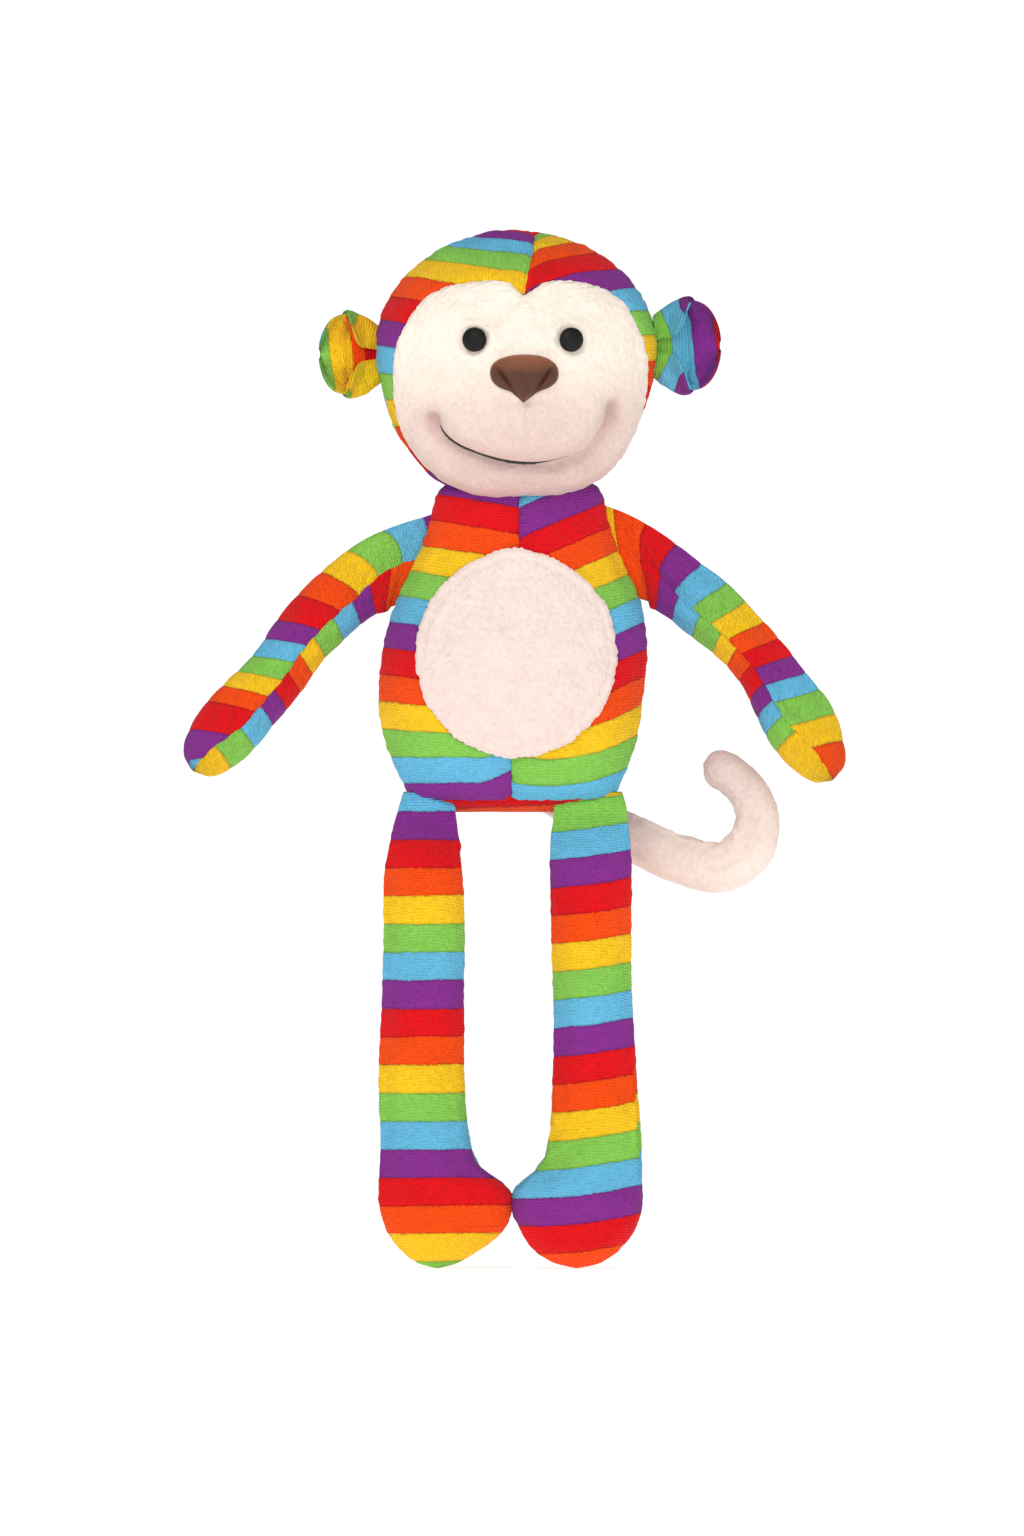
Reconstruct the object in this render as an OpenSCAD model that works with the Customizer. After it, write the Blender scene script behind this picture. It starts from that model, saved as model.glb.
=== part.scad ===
// A long-legged stuffed monkey: knitted striped covers and cream plush over soft filling.
// The toy is upright, its face looks along -Y, and left and right are the monkey's own,
// so its left side is +X. The origin is on the underside of its seat. Millimetres.

/* [Covers] */
// Thickness of the striped knit and of the plush
skin = 1.2; // [0.9:0.1:1.5]
// Air left between a cover and its filling
slack = 1.2; // [1.1:0.1:1.4]
// Gap along a seam, as an angle round the limb or body
seam_gap = 0.6; // [0.4:0.1:1]

/* [Head] */
// Width of the head without its ears
head_w = 113.2; // [108:0.2:116]
// Height of the head above its widest level
crown_h = 47; // [44:1:50]
// Height of the rounded head below its widest level, measured to where the curve would close
jaw_h = 66; // [63:1:68]
// Depth of the face in front of the side seams
face_d = 46; // [42:1:48]
// Depth of the back of the head behind the side seams
nape_d = 42; // [38:1:44]
// Level of the widest part of the head above the seat
head_z = 186; // [185:1:188]
// How far the head leans forward of the body
head_y = -4; // [-6:1:-2]
// Level at which the underside of the head is cut flat for the neck
head_floor = 127.5; // [127:0.5:129]
// How far the muzzle bulges out of the round face
muzzle_bulge = 6; // [3:1:7]

/* [Face] */
// Diameter of a safety eye
eye_d = 9.8; // [9:0.2:10.4]
// Height of a safety eye's dome
eye_h = 3.4; // [3:0.2:4]
// Diameter of the stem behind each eye
stem_d = 4; // [3.6:0.2:4.4]
// Length of that stem
stem_l = 10; // [8:1:11]
// Diameter of the washer that locks each stem
washer_d = 11; // [10:0.5:12]
// Width of the nose
nose_w = 27.4; // [26:0.2:28]
// Height of the dome of the nose above the face
nose_dome = 6.5; // [5:0.5:7.5]
// Radius of the embroidered mouth line
mouth_r = 0.6; // [0.5:0.1:0.8]

/* [Body] */
// Radius of the cream belly patch, sideways
patch_w = 39.8; // [36:0.2:41]
// Radius of the cream belly patch, up and down
patch_h = 41; // [37:0.5:42]
// Thickness of the patch
patch_t = 1.2; // [1:0.1:1.5]
// Level of the seam between the base and the panels above it
base_seam = 6; // [5:0.5:7]
// Radius of the gathering thread that closes the neck
neck_ring = 10; // [9:0.5:11]
// Radius of that thread itself
thread_r = 0.5; // [0.4:0.1:0.6]

/* [Ears, limbs and tail] */
// Fullness of an ear, front to back, between its covers
ear_fill = 6; // [5:0.5:7]
// Distance of the plane of both legs in front of the middle of the body
leg_y = 21; // [20.5:0.5:22]
// Level of the hip seams above the seat
hip_z = 4; // [3.5:0.5:4.5]
// Thickness of every limb at the seam where it is sewn flat
root_d = 3; // [2.6:0.2:3.2]

/* [Fineness] */
// Columns of facets round the body and the head
round_steps = 32; // [24:4:36]
// Rows of facets along a limb
limb_rows = 15; // [12:1:16]
// Columns of facets across one cover of a limb
limb_cols = 9; // [8:1:10]

/* [Hidden] */

// Body, bottom to top: level, middle of the width, half width, depth in front, depth behind
TORSO = [
    [0, -1.5, 29, 5.5, 11], [2, -1.5, 33, 10, 15], [5, -1.6, 38, 15, 19], [9, -1.7, 42, 19.5, 22.5],
    [14, -1.8, 44.4, 24, 25.5], [28, -2, 50.8, 31.5, 31.5], [46, -2, 54, 35, 33.5],
    [66, -0.4, 53.2, 35, 32.5], [83, 1, 50, 31.5, 28.5], [100, 1.2, 42.5, 27, 24.5],
    [112, 1.2, 36.5, 22.5, 21], [118, 1.2, 31, 18.5, 17.5], [121, 1.2, 23, 13, 12.5], [122.5, 1.2, 12, 6, 6]
];
torso_mid = 61;
torso_h = TORSO[len(TORSO) - 1][0];
patch_at = [0.2, 62.8];
neck_at = [1.2, 0, 124.6];

// Edge of the face on the head: bearing round the face's middle, 0 at its left and 90 at the crown,
// and how far round the head the edge lies, 90 at the side seams
FACE_EDGE = [
    [-45, 86], [-23, 80], [0, 69], [12, 63], [30, 58], [52, 45], [68, 36], [82, 25.5], [98, 34], [120, 41.6],
    [145, 48], [167, 54], [188, 64], [205, 74], [218, 84], [235, 87], [255, 80], [273, 72.4], [290, 78], [315, 86]
];
cap_seam = 82;
cap_left_end = -26;
cap_right_end = 221;
muzzle_at = [3, 157];
muzzle_spread = [24, 18];
eye_right_at = [-16.4, 188];
eye_left_at = [21.8, 188];
eye_clear = 0.3;
stem_clear = 0.3;
washer_t = 1;
nose_at = [3.5, 175];
nose_up = 7.8;
nose_down = 10.8;
MOUTH = [[-30.4, 154.8], [-24, 148.4], [-14, 142.6], [-3, 139.7], [7, 139.4], [17, 141.3], [27, 145.6]];

// Ears: middle, half width, half height, and the level line where the ear meets the head
ear_left_at = [69, 186.5];
ear_left_size = [12.6, 18];
ear_right_at = [-67.6, 183];
ear_right_size = [10.8, 16];
ear_root_x = 58.1;
ear_skin = 0.9;

// Limbs: distance along, x, y, z of the middle, bearing of the line across, half width, half depth
ARM_RIGHT = [
    [0, -44.6, 0, 101.8, 69, 19.5, root_d / 2], [22, -62, 0, 91.6, 112, 14.3, 7.2],
    [42, -76.6, 0, 79.6, 130, 13.2, 12.2], [58, -87.6, 0, 67.6, 137, 12.5, 13], [70, -94.6, 0, 57.2, 138, 12.4, 12.8],
    [88, -106.4, 0, 43.4, 138, 13.2, 13.2], [100, -114.4, 0, 34.2, 140, 13.6, 13],
    [112, -122.4, 0, 25, 140, 11.8, 11], [120, -127.8, 0, 18.6, 140, 7, 6.5], [123, -129.6, 0, 16.4, 140, 1.2, 1.2]
];
ARM_LEFT = [
    [0, 47.6, 0, 105.4, 114, 20.5, root_d / 2], [22, 62.8, 0, 92.4, 67, 13.4, 8.6],
    [40, 77.2, 0, 80.8, 50, 12.2, 12.2], [58, 90.4, 0, 68.8, 43, 11.6, 12.6], [72, 99.4, 0, 58, 35, 12, 12.8],
    [90, 108.8, 0, 42.4, 31, 13.8, 13.2], [102, 115.4, 0, 32.2, 31, 14.2, 13],
    [114, 121.4, 0, 22, 31, 11.6, 11], [122, 125.6, 0, 15, 31, 6.8, 6.5], [125, 126.8, 0, 12.6, 31, 1.2, 1.2]
];
TAIL = [
    [0, 8, 31, 8.6, 72, 6.2, root_d / 2], [10, 17, 30.4, 4.4, 66, 7.4, 4.2], [26, 30, 28, -2.8, 66, 8.3, 7.8],
    [46, 46, 22.5, -10.4, 67, 8.6, 8.5], [68, 66, 17, -19.3, 75, 9.4, 9], [84, 82, 15, -22.3, 99, 10, 9.3],
    [97, 93, 14.5, -15, 143, 9.9, 9.2], [110, 96.6, 15, -3, 179, 8.9, 8.6], [121, 93.3, 15.5, 7.5, 211, 8.1, 8],
    [131, 86, 16, 14.8, 234, 7.8, 7.5], [138, 80, 16, 18, 248, 6.6, 6.4], [143.5, 75, 16, 19.2, 258, 1.2, 1.2]
];

// Legs: distance below the hip seam, lowest and highest x, half depth
LEG_RIGHT = [
    [2, -47, -24, root_d / 2], [14, -50.6, -22.8, 6.8], [32, -52.6, -20.8, 12.6], [58, -52.2, -20.4, 14],
    [104, -54.2, -21, 14.2], [132, -54, -19, 14.6], [144, -54.8, -14.2, 15.4], [154, -55.4, -3.4, 16],
    [162, -54.6, -2.3, 16], [172, -51, -7, 14.6], [180, -44.5, -16.5, 10.6], [184.5, -37.5, -25, 5.4],
    [186.2, -32.6, -30.4, 1.2]
];
LEG_LEFT = [
    [2, 15, 44.4, root_d / 2], [14, 14, 45.4, 6.8], [32, 14, 46, 12.6], [58, 14.4, 45.6, 14],
    [104, 15.2, 47.8, 14.2], [132, 13.4, 49.8, 14.6], [144, 9.6, 50.4, 15.4], [154, -0.2, 50.9, 16],
    [162, -1.4, 50.8, 16], [172, 3, 47, 14.6], [180, 9, 39.8, 10.6], [184.5, 17, 32, 5.4],
    [186.2, 22.8, 25.6, 1.2]
];
fill_start = 9;
tip_margin = 2.5;

// ---- curves and grids ----

// The row of a table of points whose stretch holds a position
function stretch(rows, at, i = 0) = i >= len(rows) - 2 || at < rows[i + 1][0] ? i : stretch(rows, at, i + 1);

// Slope of every value of a table at one of its rows
function slope(rows, i) =
    let (a = rows[max(i - 1, 0)], b = rows[min(i + 1, len(rows) - 1)])
    (b - a) / (b[0] - a[0]);

// A smooth curve through the rows of a table; the first value of a row is its position
function curve(rows, at) =
    let (i = stretch(rows, at), a = rows[i], b = rows[i + 1], h = b[0] - a[0], u = (at - a[0]) / h)
    a * (2 * pow(u, 3) - 3 * pow(u, 2) + 1) + slope(rows, i) * h * (pow(u, 3) - 2 * pow(u, 2) + u)
    + b * (3 * pow(u, 2) - 2 * pow(u, 3)) + slope(rows, i + 1) * h * (pow(u, 3) - pow(u, 2));

// Positions from a to b, in steps that get shorter towards b
function eased(a, b, steps) = [for (i = [0 : steps]) a + (b - a) * sin(90 * i / steps)];
function even(a, b, steps) = [for (i = [0 : steps]) a + (b - a) * i / steps];
function joined(lists) = [for (list = lists) each list];
function reversed(list) = [for (i = [len(list) - 1 : -1 : 0]) list[i]];
function middle(points) = [for (i = [0 : 2]) [for (p = points) p[i]] * [for (p = points) 1] / len(points)];
function both(a, b, c, d) = [[a, b, c], [a, c, d]];

// Six times the volume that triangles enclose, above 0 where they run anticlockwise seen from outside
function volume6(points, faces) =
    [for (f = faces) cross(points[f[0]], points[f[1]]) * points[f[2]]] * [for (f = faces) 1];

// A closed solid from triangles that all run the same way round
module solid(points, faces) {
    polyhedron(points, volume6(points, faces) > 0 ? [for (f = faces) reversed(f)] : faces);
}

// A closed solid through a list of rings, each a closed loop of points, with a centre at both ends
module plug(rings) {
    n = len(rings[0]);
    last = len(rings) * n;
    points = concat(joined(rings), [middle(rings[0]), middle(rings[len(rings) - 1])]);
    sides = [
        for (i = [0 : len(rings) - 2], j = [0 : n - 1])
        let (k = (j + 1) % n)
        each both(i * n + j, i * n + k, (i + 1) * n + k, (i + 1) * n + j)
    ];
    start = [for (j = [0 : n - 1]) [last, (j + 1) % n, j]];
    end = [for (j = [0 : n - 1]) [last + 1, last - n + j, last - n + (j + 1) % n]];
    solid(points, concat(sides, start, end));
}

// A closed sheet between two grids of points, with a wall round its edge
module panel(outside, inside) {
    rows = len(outside);
    cols = len(outside[0]);
    n = rows * cols;
    faces = [
        for (i = [0 : rows - 2], j = [0 : cols - 2])
        let (a = i * cols + j, b = a + 1, c = b + cols, d = a + cols)
        each concat(both(a, b, c, d), both(n + d, n + c, n + b, n + a))
    ];
    long_edges = [
        for (i = [0 : rows - 2])
        let (a = i * cols, b = a + cols, c = b - 1, d = c + cols)
        each concat(both(a, b, n + b, n + a), both(d, c, n + c, n + d))
    ];
    short_edges = [
        for (j = [0 : cols - 2])
        let (a = j, b = j + 1, c = n - cols + j, d = c + 1)
        each concat(both(b, a, n + a, n + b), both(c, d, n + d, n + c))
    ];
    solid(concat(joined(outside), joined(inside)), concat(faces, long_edges, short_edges));
}

// ---- body ----

// A point of the body at a level and an angle round it, 270 at the front, sunk in by an inset
function torso_point(level, angle, inset) =
    let (s = curve(TORSO, level), depth = angle > 180 ? s[3] : s[4])
    [
        s[1] + (s[2] - inset) * cos(angle),
        (depth - inset) * sin(angle),
        torso_mid + (level - torso_mid) * (1 - 2 * inset / torso_h)
    ];
function torso_grid(from, to, inset) = [
    for (level = even(base_seam + 0.2, torso_h, 15))
    [for (a = even(from + seam_gap, to - seam_gap, 8)) torso_point(level, a, inset)]
];

// Depth of the front of the body at a place seen from the front
function belly_y(x, z) =
    let (s = curve(TORSO, z))
    -s[3] * sqrt(1 - pow((x - s[1]) / s[2], 2));

module torso_quarter(from) {
    panel(torso_grid(from, from + 90, 0), torso_grid(from, from + 90, skin));
}

module torso_filling() {
    inset = skin + slack;
    color("white") plug([
        for (level = concat([0], even(base_seam, torso_h, 14)))
        [for (a = [0 : 360 / round_steps : 359]) torso_point(level, a, inset)]
    ]);
}
module torso_front_left() {
    color("gold") torso_quarter(270);
}
module torso_front_right() {
    color("orangered") torso_quarter(180);
}
module torso_back_left() {
    color("skyblue") torso_quarter(0);
}
module torso_back_right() {
    color("mediumseagreen") torso_quarter(90);
}

// A flat seat with a rounded rim that rises to the seam
module torso_base() {
    bearings = [0 : 360 / round_steps : 359];
    color("red") difference() {
        plug([for (level = [0, 2, 4, base_seam]) [for (a = bearings) torso_point(level, a, 0)]]);
        plug([
            for (level = [skin, 2.8, 4.6, base_seam + 0.8])
            [for (a = bearings) let (p = torso_point(level - skin, a, skin)) [p[0], p[1], level]]
        ]);
    }
}

module belly_patch() {
    lift = 0.4;
    bearings = [0 : 360 / round_steps : 359];
    function ring(k, out) = [
        for (a = bearings)
        let (x = patch_at[0] + k * patch_w * cos(a), z = patch_at[1] + k * patch_h * sin(a))
        [x, belly_y(x, z) - out, z]
    ];
    reach = [0.1, 0.28, 0.46, 0.64, 0.82, 1];
    color("linen") plug(concat(
        [for (k = reach) ring(k, lift)],
        [for (k = reversed(reach)) ring(k, lift + patch_t)]
    ));
}

// The thread that gathers the neck closed, sewn through both the body and the head
module neck_thread() {
    color("white") translate(neck_at) rotate_extrude($fn = 48) translate([neck_ring, 0]) circle(thread_r, $fn = 16);
}

// ---- head ----

// How far the muzzle stands out of the round head
function bump(x, z) =
    muzzle_bulge * exp(-pow((x - muzzle_at[0]) / muzzle_spread[0], 2) - pow((z - muzzle_at[1]) / muzzle_spread[1], 2));

// A point of the head: bearing as in FACE_EDGE, angle round from the front, sunk in by an inset
function head_point(bearing, round, inset) =
    let (
        rise = sin(bearing) > 0 ? crown_h : jaw_h,
        x = (head_w / 2 - inset) * sin(round) * cos(bearing),
        z = head_z + (rise - inset) * sin(round) * sin(bearing),
        depth = round < 90 ? face_d : nape_d,
        out = round < 90 ? bump(x, z) * cos(round) : 0
    )
    [x, head_y - (depth - inset) * cos(round) - out, max(z, head_floor + inset)];

// Depth of the front of the head at a place seen from the front
function face_y(x, z) =
    let (
        rise = z > head_z ? crown_h : jaw_h,
        flat = 1 - pow(2 * x / head_w, 2) - pow((z - head_z) / rise, 2),
        forward = sqrt(max(flat, 0))
    )
    head_y - face_d * forward - bump(x, z) * forward;

function face_edge(bearing) = curve(FACE_EDGE, bearing)[1];

module face_panel() {
    bearings = [-45 : 9 : 314];
    reach = [0.04, 0.2, 0.4, 0.6, 0.8, 1];
    function ring(k, inset) = [for (b = bearings) head_point(b, k * (face_edge(b) - seam_gap), inset)];
    color("linen") difference() {
        plug(concat([for (k = reach) ring(k, skin)], [for (k = reversed(reach)) ring(k, 0)]));
        stem_hole(eye_right_at, stem_d / 2 + stem_clear);
        stem_hole(eye_left_at, stem_d / 2 + stem_clear);
    }
}

// One half of the striped cap, from the face's edge to the side seam
module cap(from, to) {
    bearings = even(from, to, 17);
    function grid(inset) = [
        for (b = bearings)
        [for (k = even(0, 1, 4)) let (e = face_edge(b) + seam_gap) head_point(b, e + (89.4 - e) * k, inset)]
    ];
    panel(grid(0), grid(skin));
}
module cap_left() {
    color("orangered") cap(cap_left_end, cap_seam - seam_gap);
}
module cap_right() {
    color("gold") cap(cap_seam + seam_gap, cap_right_end);
}

module head_back(from, to) {
    bearings = even(from + seam_gap, to - seam_gap, 14);
    function grid(inset) = [for (b = bearings) [for (r = even(90.6, 178.5, 8)) head_point(b, r, inset)]];
    panel(grid(0), grid(skin));
}
module head_back_left() {
    color("skyblue") head_back(-90, 90);
}
module head_back_right() {
    color("mediumseagreen") head_back(90, 270);
}

module head_filling() {
    inset = skin + slack;
    color("white") difference() {
        plug([
            for (r = [4, 15, 27, 39, 51, 63, 75, 88, 100, 115, 130, 145, 160, 174])
            [for (b = [0 : 360 / round_steps : 359]) head_point(-b, r, inset)]
        ]);
        eye_pocket(eye_right_at);
        eye_pocket(eye_left_at);
    }
}

// Puts a part at an eye, with its +Z pointing straight out of the face there
module at_eye(place) {
    x = place[0];
    z = place[1];
    lean = atan(x / pow(head_w / 2, 2) * pow(face_d, 2) / -(face_y(x, z) - head_y));
    translate([x, face_y(x, z), z]) rotate([90, 0, lean]) children();
}
module stem_hole(place, r) {
    at_eye(place) translate([0, 0, -6]) cylinder(h = 12, r = r, $fn = 32);
}

// Room in the filling for the stem and its washer
module eye_pocket(place) {
    at_eye(place) union() {
        translate([0, 0, -skin - 3.4]) cylinder(h = 12, r = washer_d / 2 + 0.4, $fn = 48);
        translate([0, 0, -stem_l - 1]) cylinder(h = stem_l, r = stem_d / 2 + stem_clear, $fn = 32);
    }
}
module eye(place) {
    r = eye_d / 2;
    dome = [for (a = [0 : 9 : 90]) [r * cos(a), 0.6 + (eye_h - 0.6) * sin(a)]];
    color("black") at_eye(place) translate([0, 0, eye_clear]) rotate_extrude($fn = 48)
        polygon(concat([[0, -stem_l], [stem_d / 2 - 0.4, -stem_l], [stem_d / 2, 0.4 - stem_l], [stem_d / 2, 0], [r, 0]], dome));
}
module eye_left() {
    eye(eye_left_at);
}
module eye_right() {
    eye(eye_right_at);
}
module eye_washer(place) {
    color("gainsboro") at_eye(place) translate([0, 0, -skin - 2.4]) difference() {
        cylinder(h = washer_t, r = washer_d / 2, $fn = 48);
        translate([0, 0, -1]) cylinder(h = washer_t + 2, r = stem_d / 2 + 0.05, $fn = 32);
    }
}
module eye_washer_left() {
    eye_washer(eye_left_at);
}
module eye_washer_right() {
    eye_washer(eye_right_at);
}

// Outline of the nose: a soft rounded triangle with its point down
function nose_r(bearing) =
    let (
        high = sin(bearing) > 0 ? nose_up : nose_down * (0.86 + 0.14 * pow(abs(sin(bearing)), 8)),
        power = 2.3
    )
    pow(pow(abs(cos(bearing)) / (nose_w / 2), power) + pow(abs(sin(bearing)) / high, power), -1 / power);
function nose_ring(k, dome, out) = [
    for (b = [0 : 15 : 359])
    let (x = nose_at[0] + k * nose_r(b) * cos(b), z = nose_at[1] + k * nose_r(b) * sin(b))
    [x, face_y(x, z) - out - dome * sqrt(1 - k * k), z]
];
module nose_cover() {
    reach = [0.1, 0.4, 0.65, 0.85, 1];
    color("saddlebrown") plug(concat(
        [for (k = reach) nose_ring(k, nose_dome, 0.3)],
        [for (k = reversed(reach)) nose_ring(k, nose_dome, 1.3)]
    ));
}
module nose_padding() {
    color("white") plug(concat(
        [for (k = [0.1, 0.5, 0.88]) nose_ring(k, 0, 0.3)],
        [for (k = [0.88, 0.6, 0.35, 0.1]) nose_ring(k, nose_dome - 0.5, 0.1)]
    ));
}

// The stitched smile, laid on the plush
module mouth_thread() {
    lift = mouth_r + 0.3;
    ends = len(MOUTH) - 1;
    rings = [
        for (i = [0 : 0.5 : ends])
        let (
            low = MOUTH[floor(i)], high = MOUTH[ceil(i)], p = (low + high) / 2,
            ahead = MOUTH[min(floor(i) + 1, ends)], back = MOUTH[max(ceil(i) - 1, 0)],
            along = (ahead - back) / norm(ahead - back)
        )
        [for (a = [0 : 45 : 359]) [
            p[0] - mouth_r * cos(a) * along[1],
            face_y(p[0], p[1]) - lift + mouth_r * sin(a),
            p[1] + mouth_r * cos(a) * along[0]
        ]]
    ];
    color("black") plug(rings);
}

// ---- ears ----

// A point of an ear: bearing and reach from its middle; the side facing the head is cut straight
function ear_point(at, size, bearing, k, out) =
    let (
        round_r = 1 / sqrt(pow(cos(bearing) / size[0], 2) + pow(sin(bearing) / size[1], 2)),
        inward = -sign(at[0]) * cos(bearing),
        r = inward > 0 ? min(round_r, (abs(at[0]) - ear_root_x) / inward) : round_r
    )
    [at[0] + k * r * cos(bearing), head_y + out, at[1] + k * r * sin(bearing)];
function ear_ring(at, size, k, out) = [for (b = [0 : 15 : 359]) ear_point(at, size, b, k, out)];

// One cover of an ear, domed to the front for side -1 and to the back for side 1
module ear_cover(at, size, side) {
    reach = [0.1, 0.4, 0.7, 0.9, 1];
    function out(k, t) = side * (0.15 + t + ear_fill / 2 * sqrt(1 - k * k));
    near = [for (k = reach) ear_ring(at, size, k, out(k, 0))];
    far = [for (k = reach) ear_ring(at, size, k, out(k, ear_skin))];
    plug(concat(near, reversed(far)));
}
module ear_wadding(at, size) {
    reach = [0.1, 0.4, 0.65, 0.8];
    function out(k) = ear_fill / 2 * sqrt(1 - k * k) - slack;
    color("white") plug(concat(
        [for (k = reach) ear_ring(at, size, k, out(k))],
        [for (k = reversed(reach)) ear_ring(at, size, k, -out(k))]
    ));
}
module ear_left_front() {
    color("skyblue") ear_cover(ear_left_at, ear_left_size, -1);
}
module ear_left_back() {
    color("purple") ear_cover(ear_left_at, ear_left_size, 1);
}
module ear_left_wadding() {
    ear_wadding(ear_left_at, ear_left_size);
}
module ear_right_front() {
    color("gold") ear_cover(ear_right_at, ear_right_size, -1);
}
module ear_right_back() {
    color("yellowgreen") ear_cover(ear_right_at, ear_right_size, 1);
}
module ear_right_wadding() {
    ear_wadding(ear_right_at, ear_right_size);
}

// ---- arms and tail ----

// A point round a limb: 0 at the end of the line across, 270 at the front
function limb_point(s, angle, inset) =
    let (across = (s[5] - inset) * cos(angle))
    [
        s[1] + across * cos(s[4]),
        s[2] + (s[6] - min(inset, s[6] - 0.1)) * sin(angle),
        s[3] + across * sin(s[4])
    ];
module limb_cover(path, from) {
    end = path[len(path) - 1][0];
    function grid(inset) = [
        for (at = eased(0, end - inset, limb_rows - 1))
        let (s = curve(path, at))
        [for (a = even(from + seam_gap, from + 180 - seam_gap, limb_cols - 1)) limb_point(s, a, inset)]
    ];
    panel(grid(0), grid(skin));
}
module limb_filling(path) {
    inset = skin + slack;
    end = path[len(path) - 1][0];
    steps = 360 / (2 * limb_cols - 2);
    color("white") plug([
        for (at = eased(fill_start, end - tip_margin, limb_rows - 1))
        [for (a = [0 : steps : 359]) limb_point(curve(path, at), a, inset)]
    ]);
}
module arm_left_upper() {
    color("purple") limb_cover(ARM_LEFT, 90);
}
module arm_left_lower() {
    color("skyblue") limb_cover(ARM_LEFT, -90);
}
module arm_left_filling() {
    limb_filling(ARM_LEFT);
}
module arm_right_upper() {
    color("yellowgreen") limb_cover(ARM_RIGHT, -90);
}
module arm_right_lower() {
    color("crimson") limb_cover(ARM_RIGHT, 90);
}
module arm_right_filling() {
    limb_filling(ARM_RIGHT);
}
module tail_front() {
    color("linen") limb_cover(TAIL, 180);
}
module tail_back() {
    color("antiquewhite") limb_cover(TAIL, 0);
}
module tail_filling() {
    limb_filling(TAIL);
}

// ---- legs ----

// A point round a leg at a distance below the hip: 270 at the front
function leg_point(s, angle, inset) = [
    (s[1] + s[2]) / 2 + ((s[2] - s[1]) / 2 - inset) * cos(angle),
    -leg_y + (s[3] - min(inset, s[3] - 0.1)) * sin(angle),
    hip_z - s[0]
];
module leg_cover(path, from) {
    end = path[len(path) - 1][0];
    function grid(inset) = [
        for (at = eased(path[0][0], end - inset, limb_rows + 1))
        let (s = curve(path, at))
        [for (a = even(from + seam_gap, from + 180 - seam_gap, limb_cols - 1)) leg_point(s, a, inset)]
    ];
    panel(grid(0), grid(skin));
}
module leg_filling(path) {
    inset = skin + slack;
    end = path[len(path) - 1][0];
    steps = 360 / (2 * limb_cols - 2);
    color("white") plug([
        for (at = eased(path[0][0] + fill_start, end - tip_margin, limb_rows + 1))
        [for (a = [0 : steps : 359]) leg_point(curve(path, at), a, inset)]
    ]);
}
module leg_left_front() {
    color("purple") leg_cover(LEG_LEFT, 180);
}
module leg_left_back() {
    color("gold") leg_cover(LEG_LEFT, 0);
}
module leg_left_filling() {
    leg_filling(LEG_LEFT);
}
module leg_right_front() {
    color("crimson") leg_cover(LEG_RIGHT, 180);
}
module leg_right_back() {
    color("orangered") leg_cover(LEG_RIGHT, 0);
}
module leg_right_filling() {
    leg_filling(LEG_RIGHT);
}

torso_filling();
torso_front_left();
torso_front_right();
torso_back_left();
torso_back_right();
torso_base();
belly_patch();
neck_thread();
head_filling();
face_panel();
cap_left();
cap_right();
head_back_left();
head_back_right();
nose_cover();
nose_padding();
mouth_thread();
eye_left();
eye_right();
eye_washer_left();
eye_washer_right();
ear_left_front();
ear_left_back();
ear_left_wadding();
ear_right_front();
ear_right_back();
ear_right_wadding();
arm_left_upper();
arm_left_lower();
arm_left_filling();
arm_right_upper();
arm_right_lower();
arm_right_filling();
leg_left_front();
leg_left_back();
leg_left_filling();
leg_right_front();
leg_right_back();
leg_right_filling();
tail_front();
tail_back();
tail_filling();
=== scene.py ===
"""A long-legged stuffed monkey, sewn of striped knit and cream plush and stuffed, built round its CAD frame.

Shapes are worked out in millimetres in the CAD's frame and turned into metres when a mesh is made.
Left and right are the monkey's own, so its left is +X, and its face looks along -Y."""

import math

import bpy
import numpy as np
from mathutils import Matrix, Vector


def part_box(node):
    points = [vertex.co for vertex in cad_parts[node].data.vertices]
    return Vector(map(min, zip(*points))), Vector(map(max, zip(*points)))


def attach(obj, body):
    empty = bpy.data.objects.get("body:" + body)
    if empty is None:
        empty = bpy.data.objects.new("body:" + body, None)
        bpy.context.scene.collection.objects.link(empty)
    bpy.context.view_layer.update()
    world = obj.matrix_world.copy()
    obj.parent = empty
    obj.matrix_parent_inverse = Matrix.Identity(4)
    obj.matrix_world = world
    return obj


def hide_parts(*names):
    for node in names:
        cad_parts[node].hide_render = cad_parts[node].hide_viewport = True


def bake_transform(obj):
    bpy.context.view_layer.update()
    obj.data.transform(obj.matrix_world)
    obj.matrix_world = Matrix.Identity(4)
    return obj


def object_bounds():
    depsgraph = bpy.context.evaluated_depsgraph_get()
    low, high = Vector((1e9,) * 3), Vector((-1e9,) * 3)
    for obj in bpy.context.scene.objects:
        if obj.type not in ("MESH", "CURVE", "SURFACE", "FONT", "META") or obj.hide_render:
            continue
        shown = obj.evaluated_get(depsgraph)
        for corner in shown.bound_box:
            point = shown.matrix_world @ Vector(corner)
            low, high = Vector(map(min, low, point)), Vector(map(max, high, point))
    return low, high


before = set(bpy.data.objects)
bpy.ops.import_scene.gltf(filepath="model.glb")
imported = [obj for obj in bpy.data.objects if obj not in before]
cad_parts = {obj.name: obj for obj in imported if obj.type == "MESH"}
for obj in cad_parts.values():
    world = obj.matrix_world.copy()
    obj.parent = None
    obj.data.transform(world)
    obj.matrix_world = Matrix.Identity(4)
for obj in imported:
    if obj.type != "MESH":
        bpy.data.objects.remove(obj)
cad_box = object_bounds()
scene = bpy.context.scene
MM = 0.001


def box(node):
    """Lowest and highest corner of a CAD node, in millimetres."""
    return [np.array(corner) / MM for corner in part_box(node)]


def middle(node):
    low, high = box(node)
    return (low + high) / 2


# ---- curves and noise ----


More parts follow.
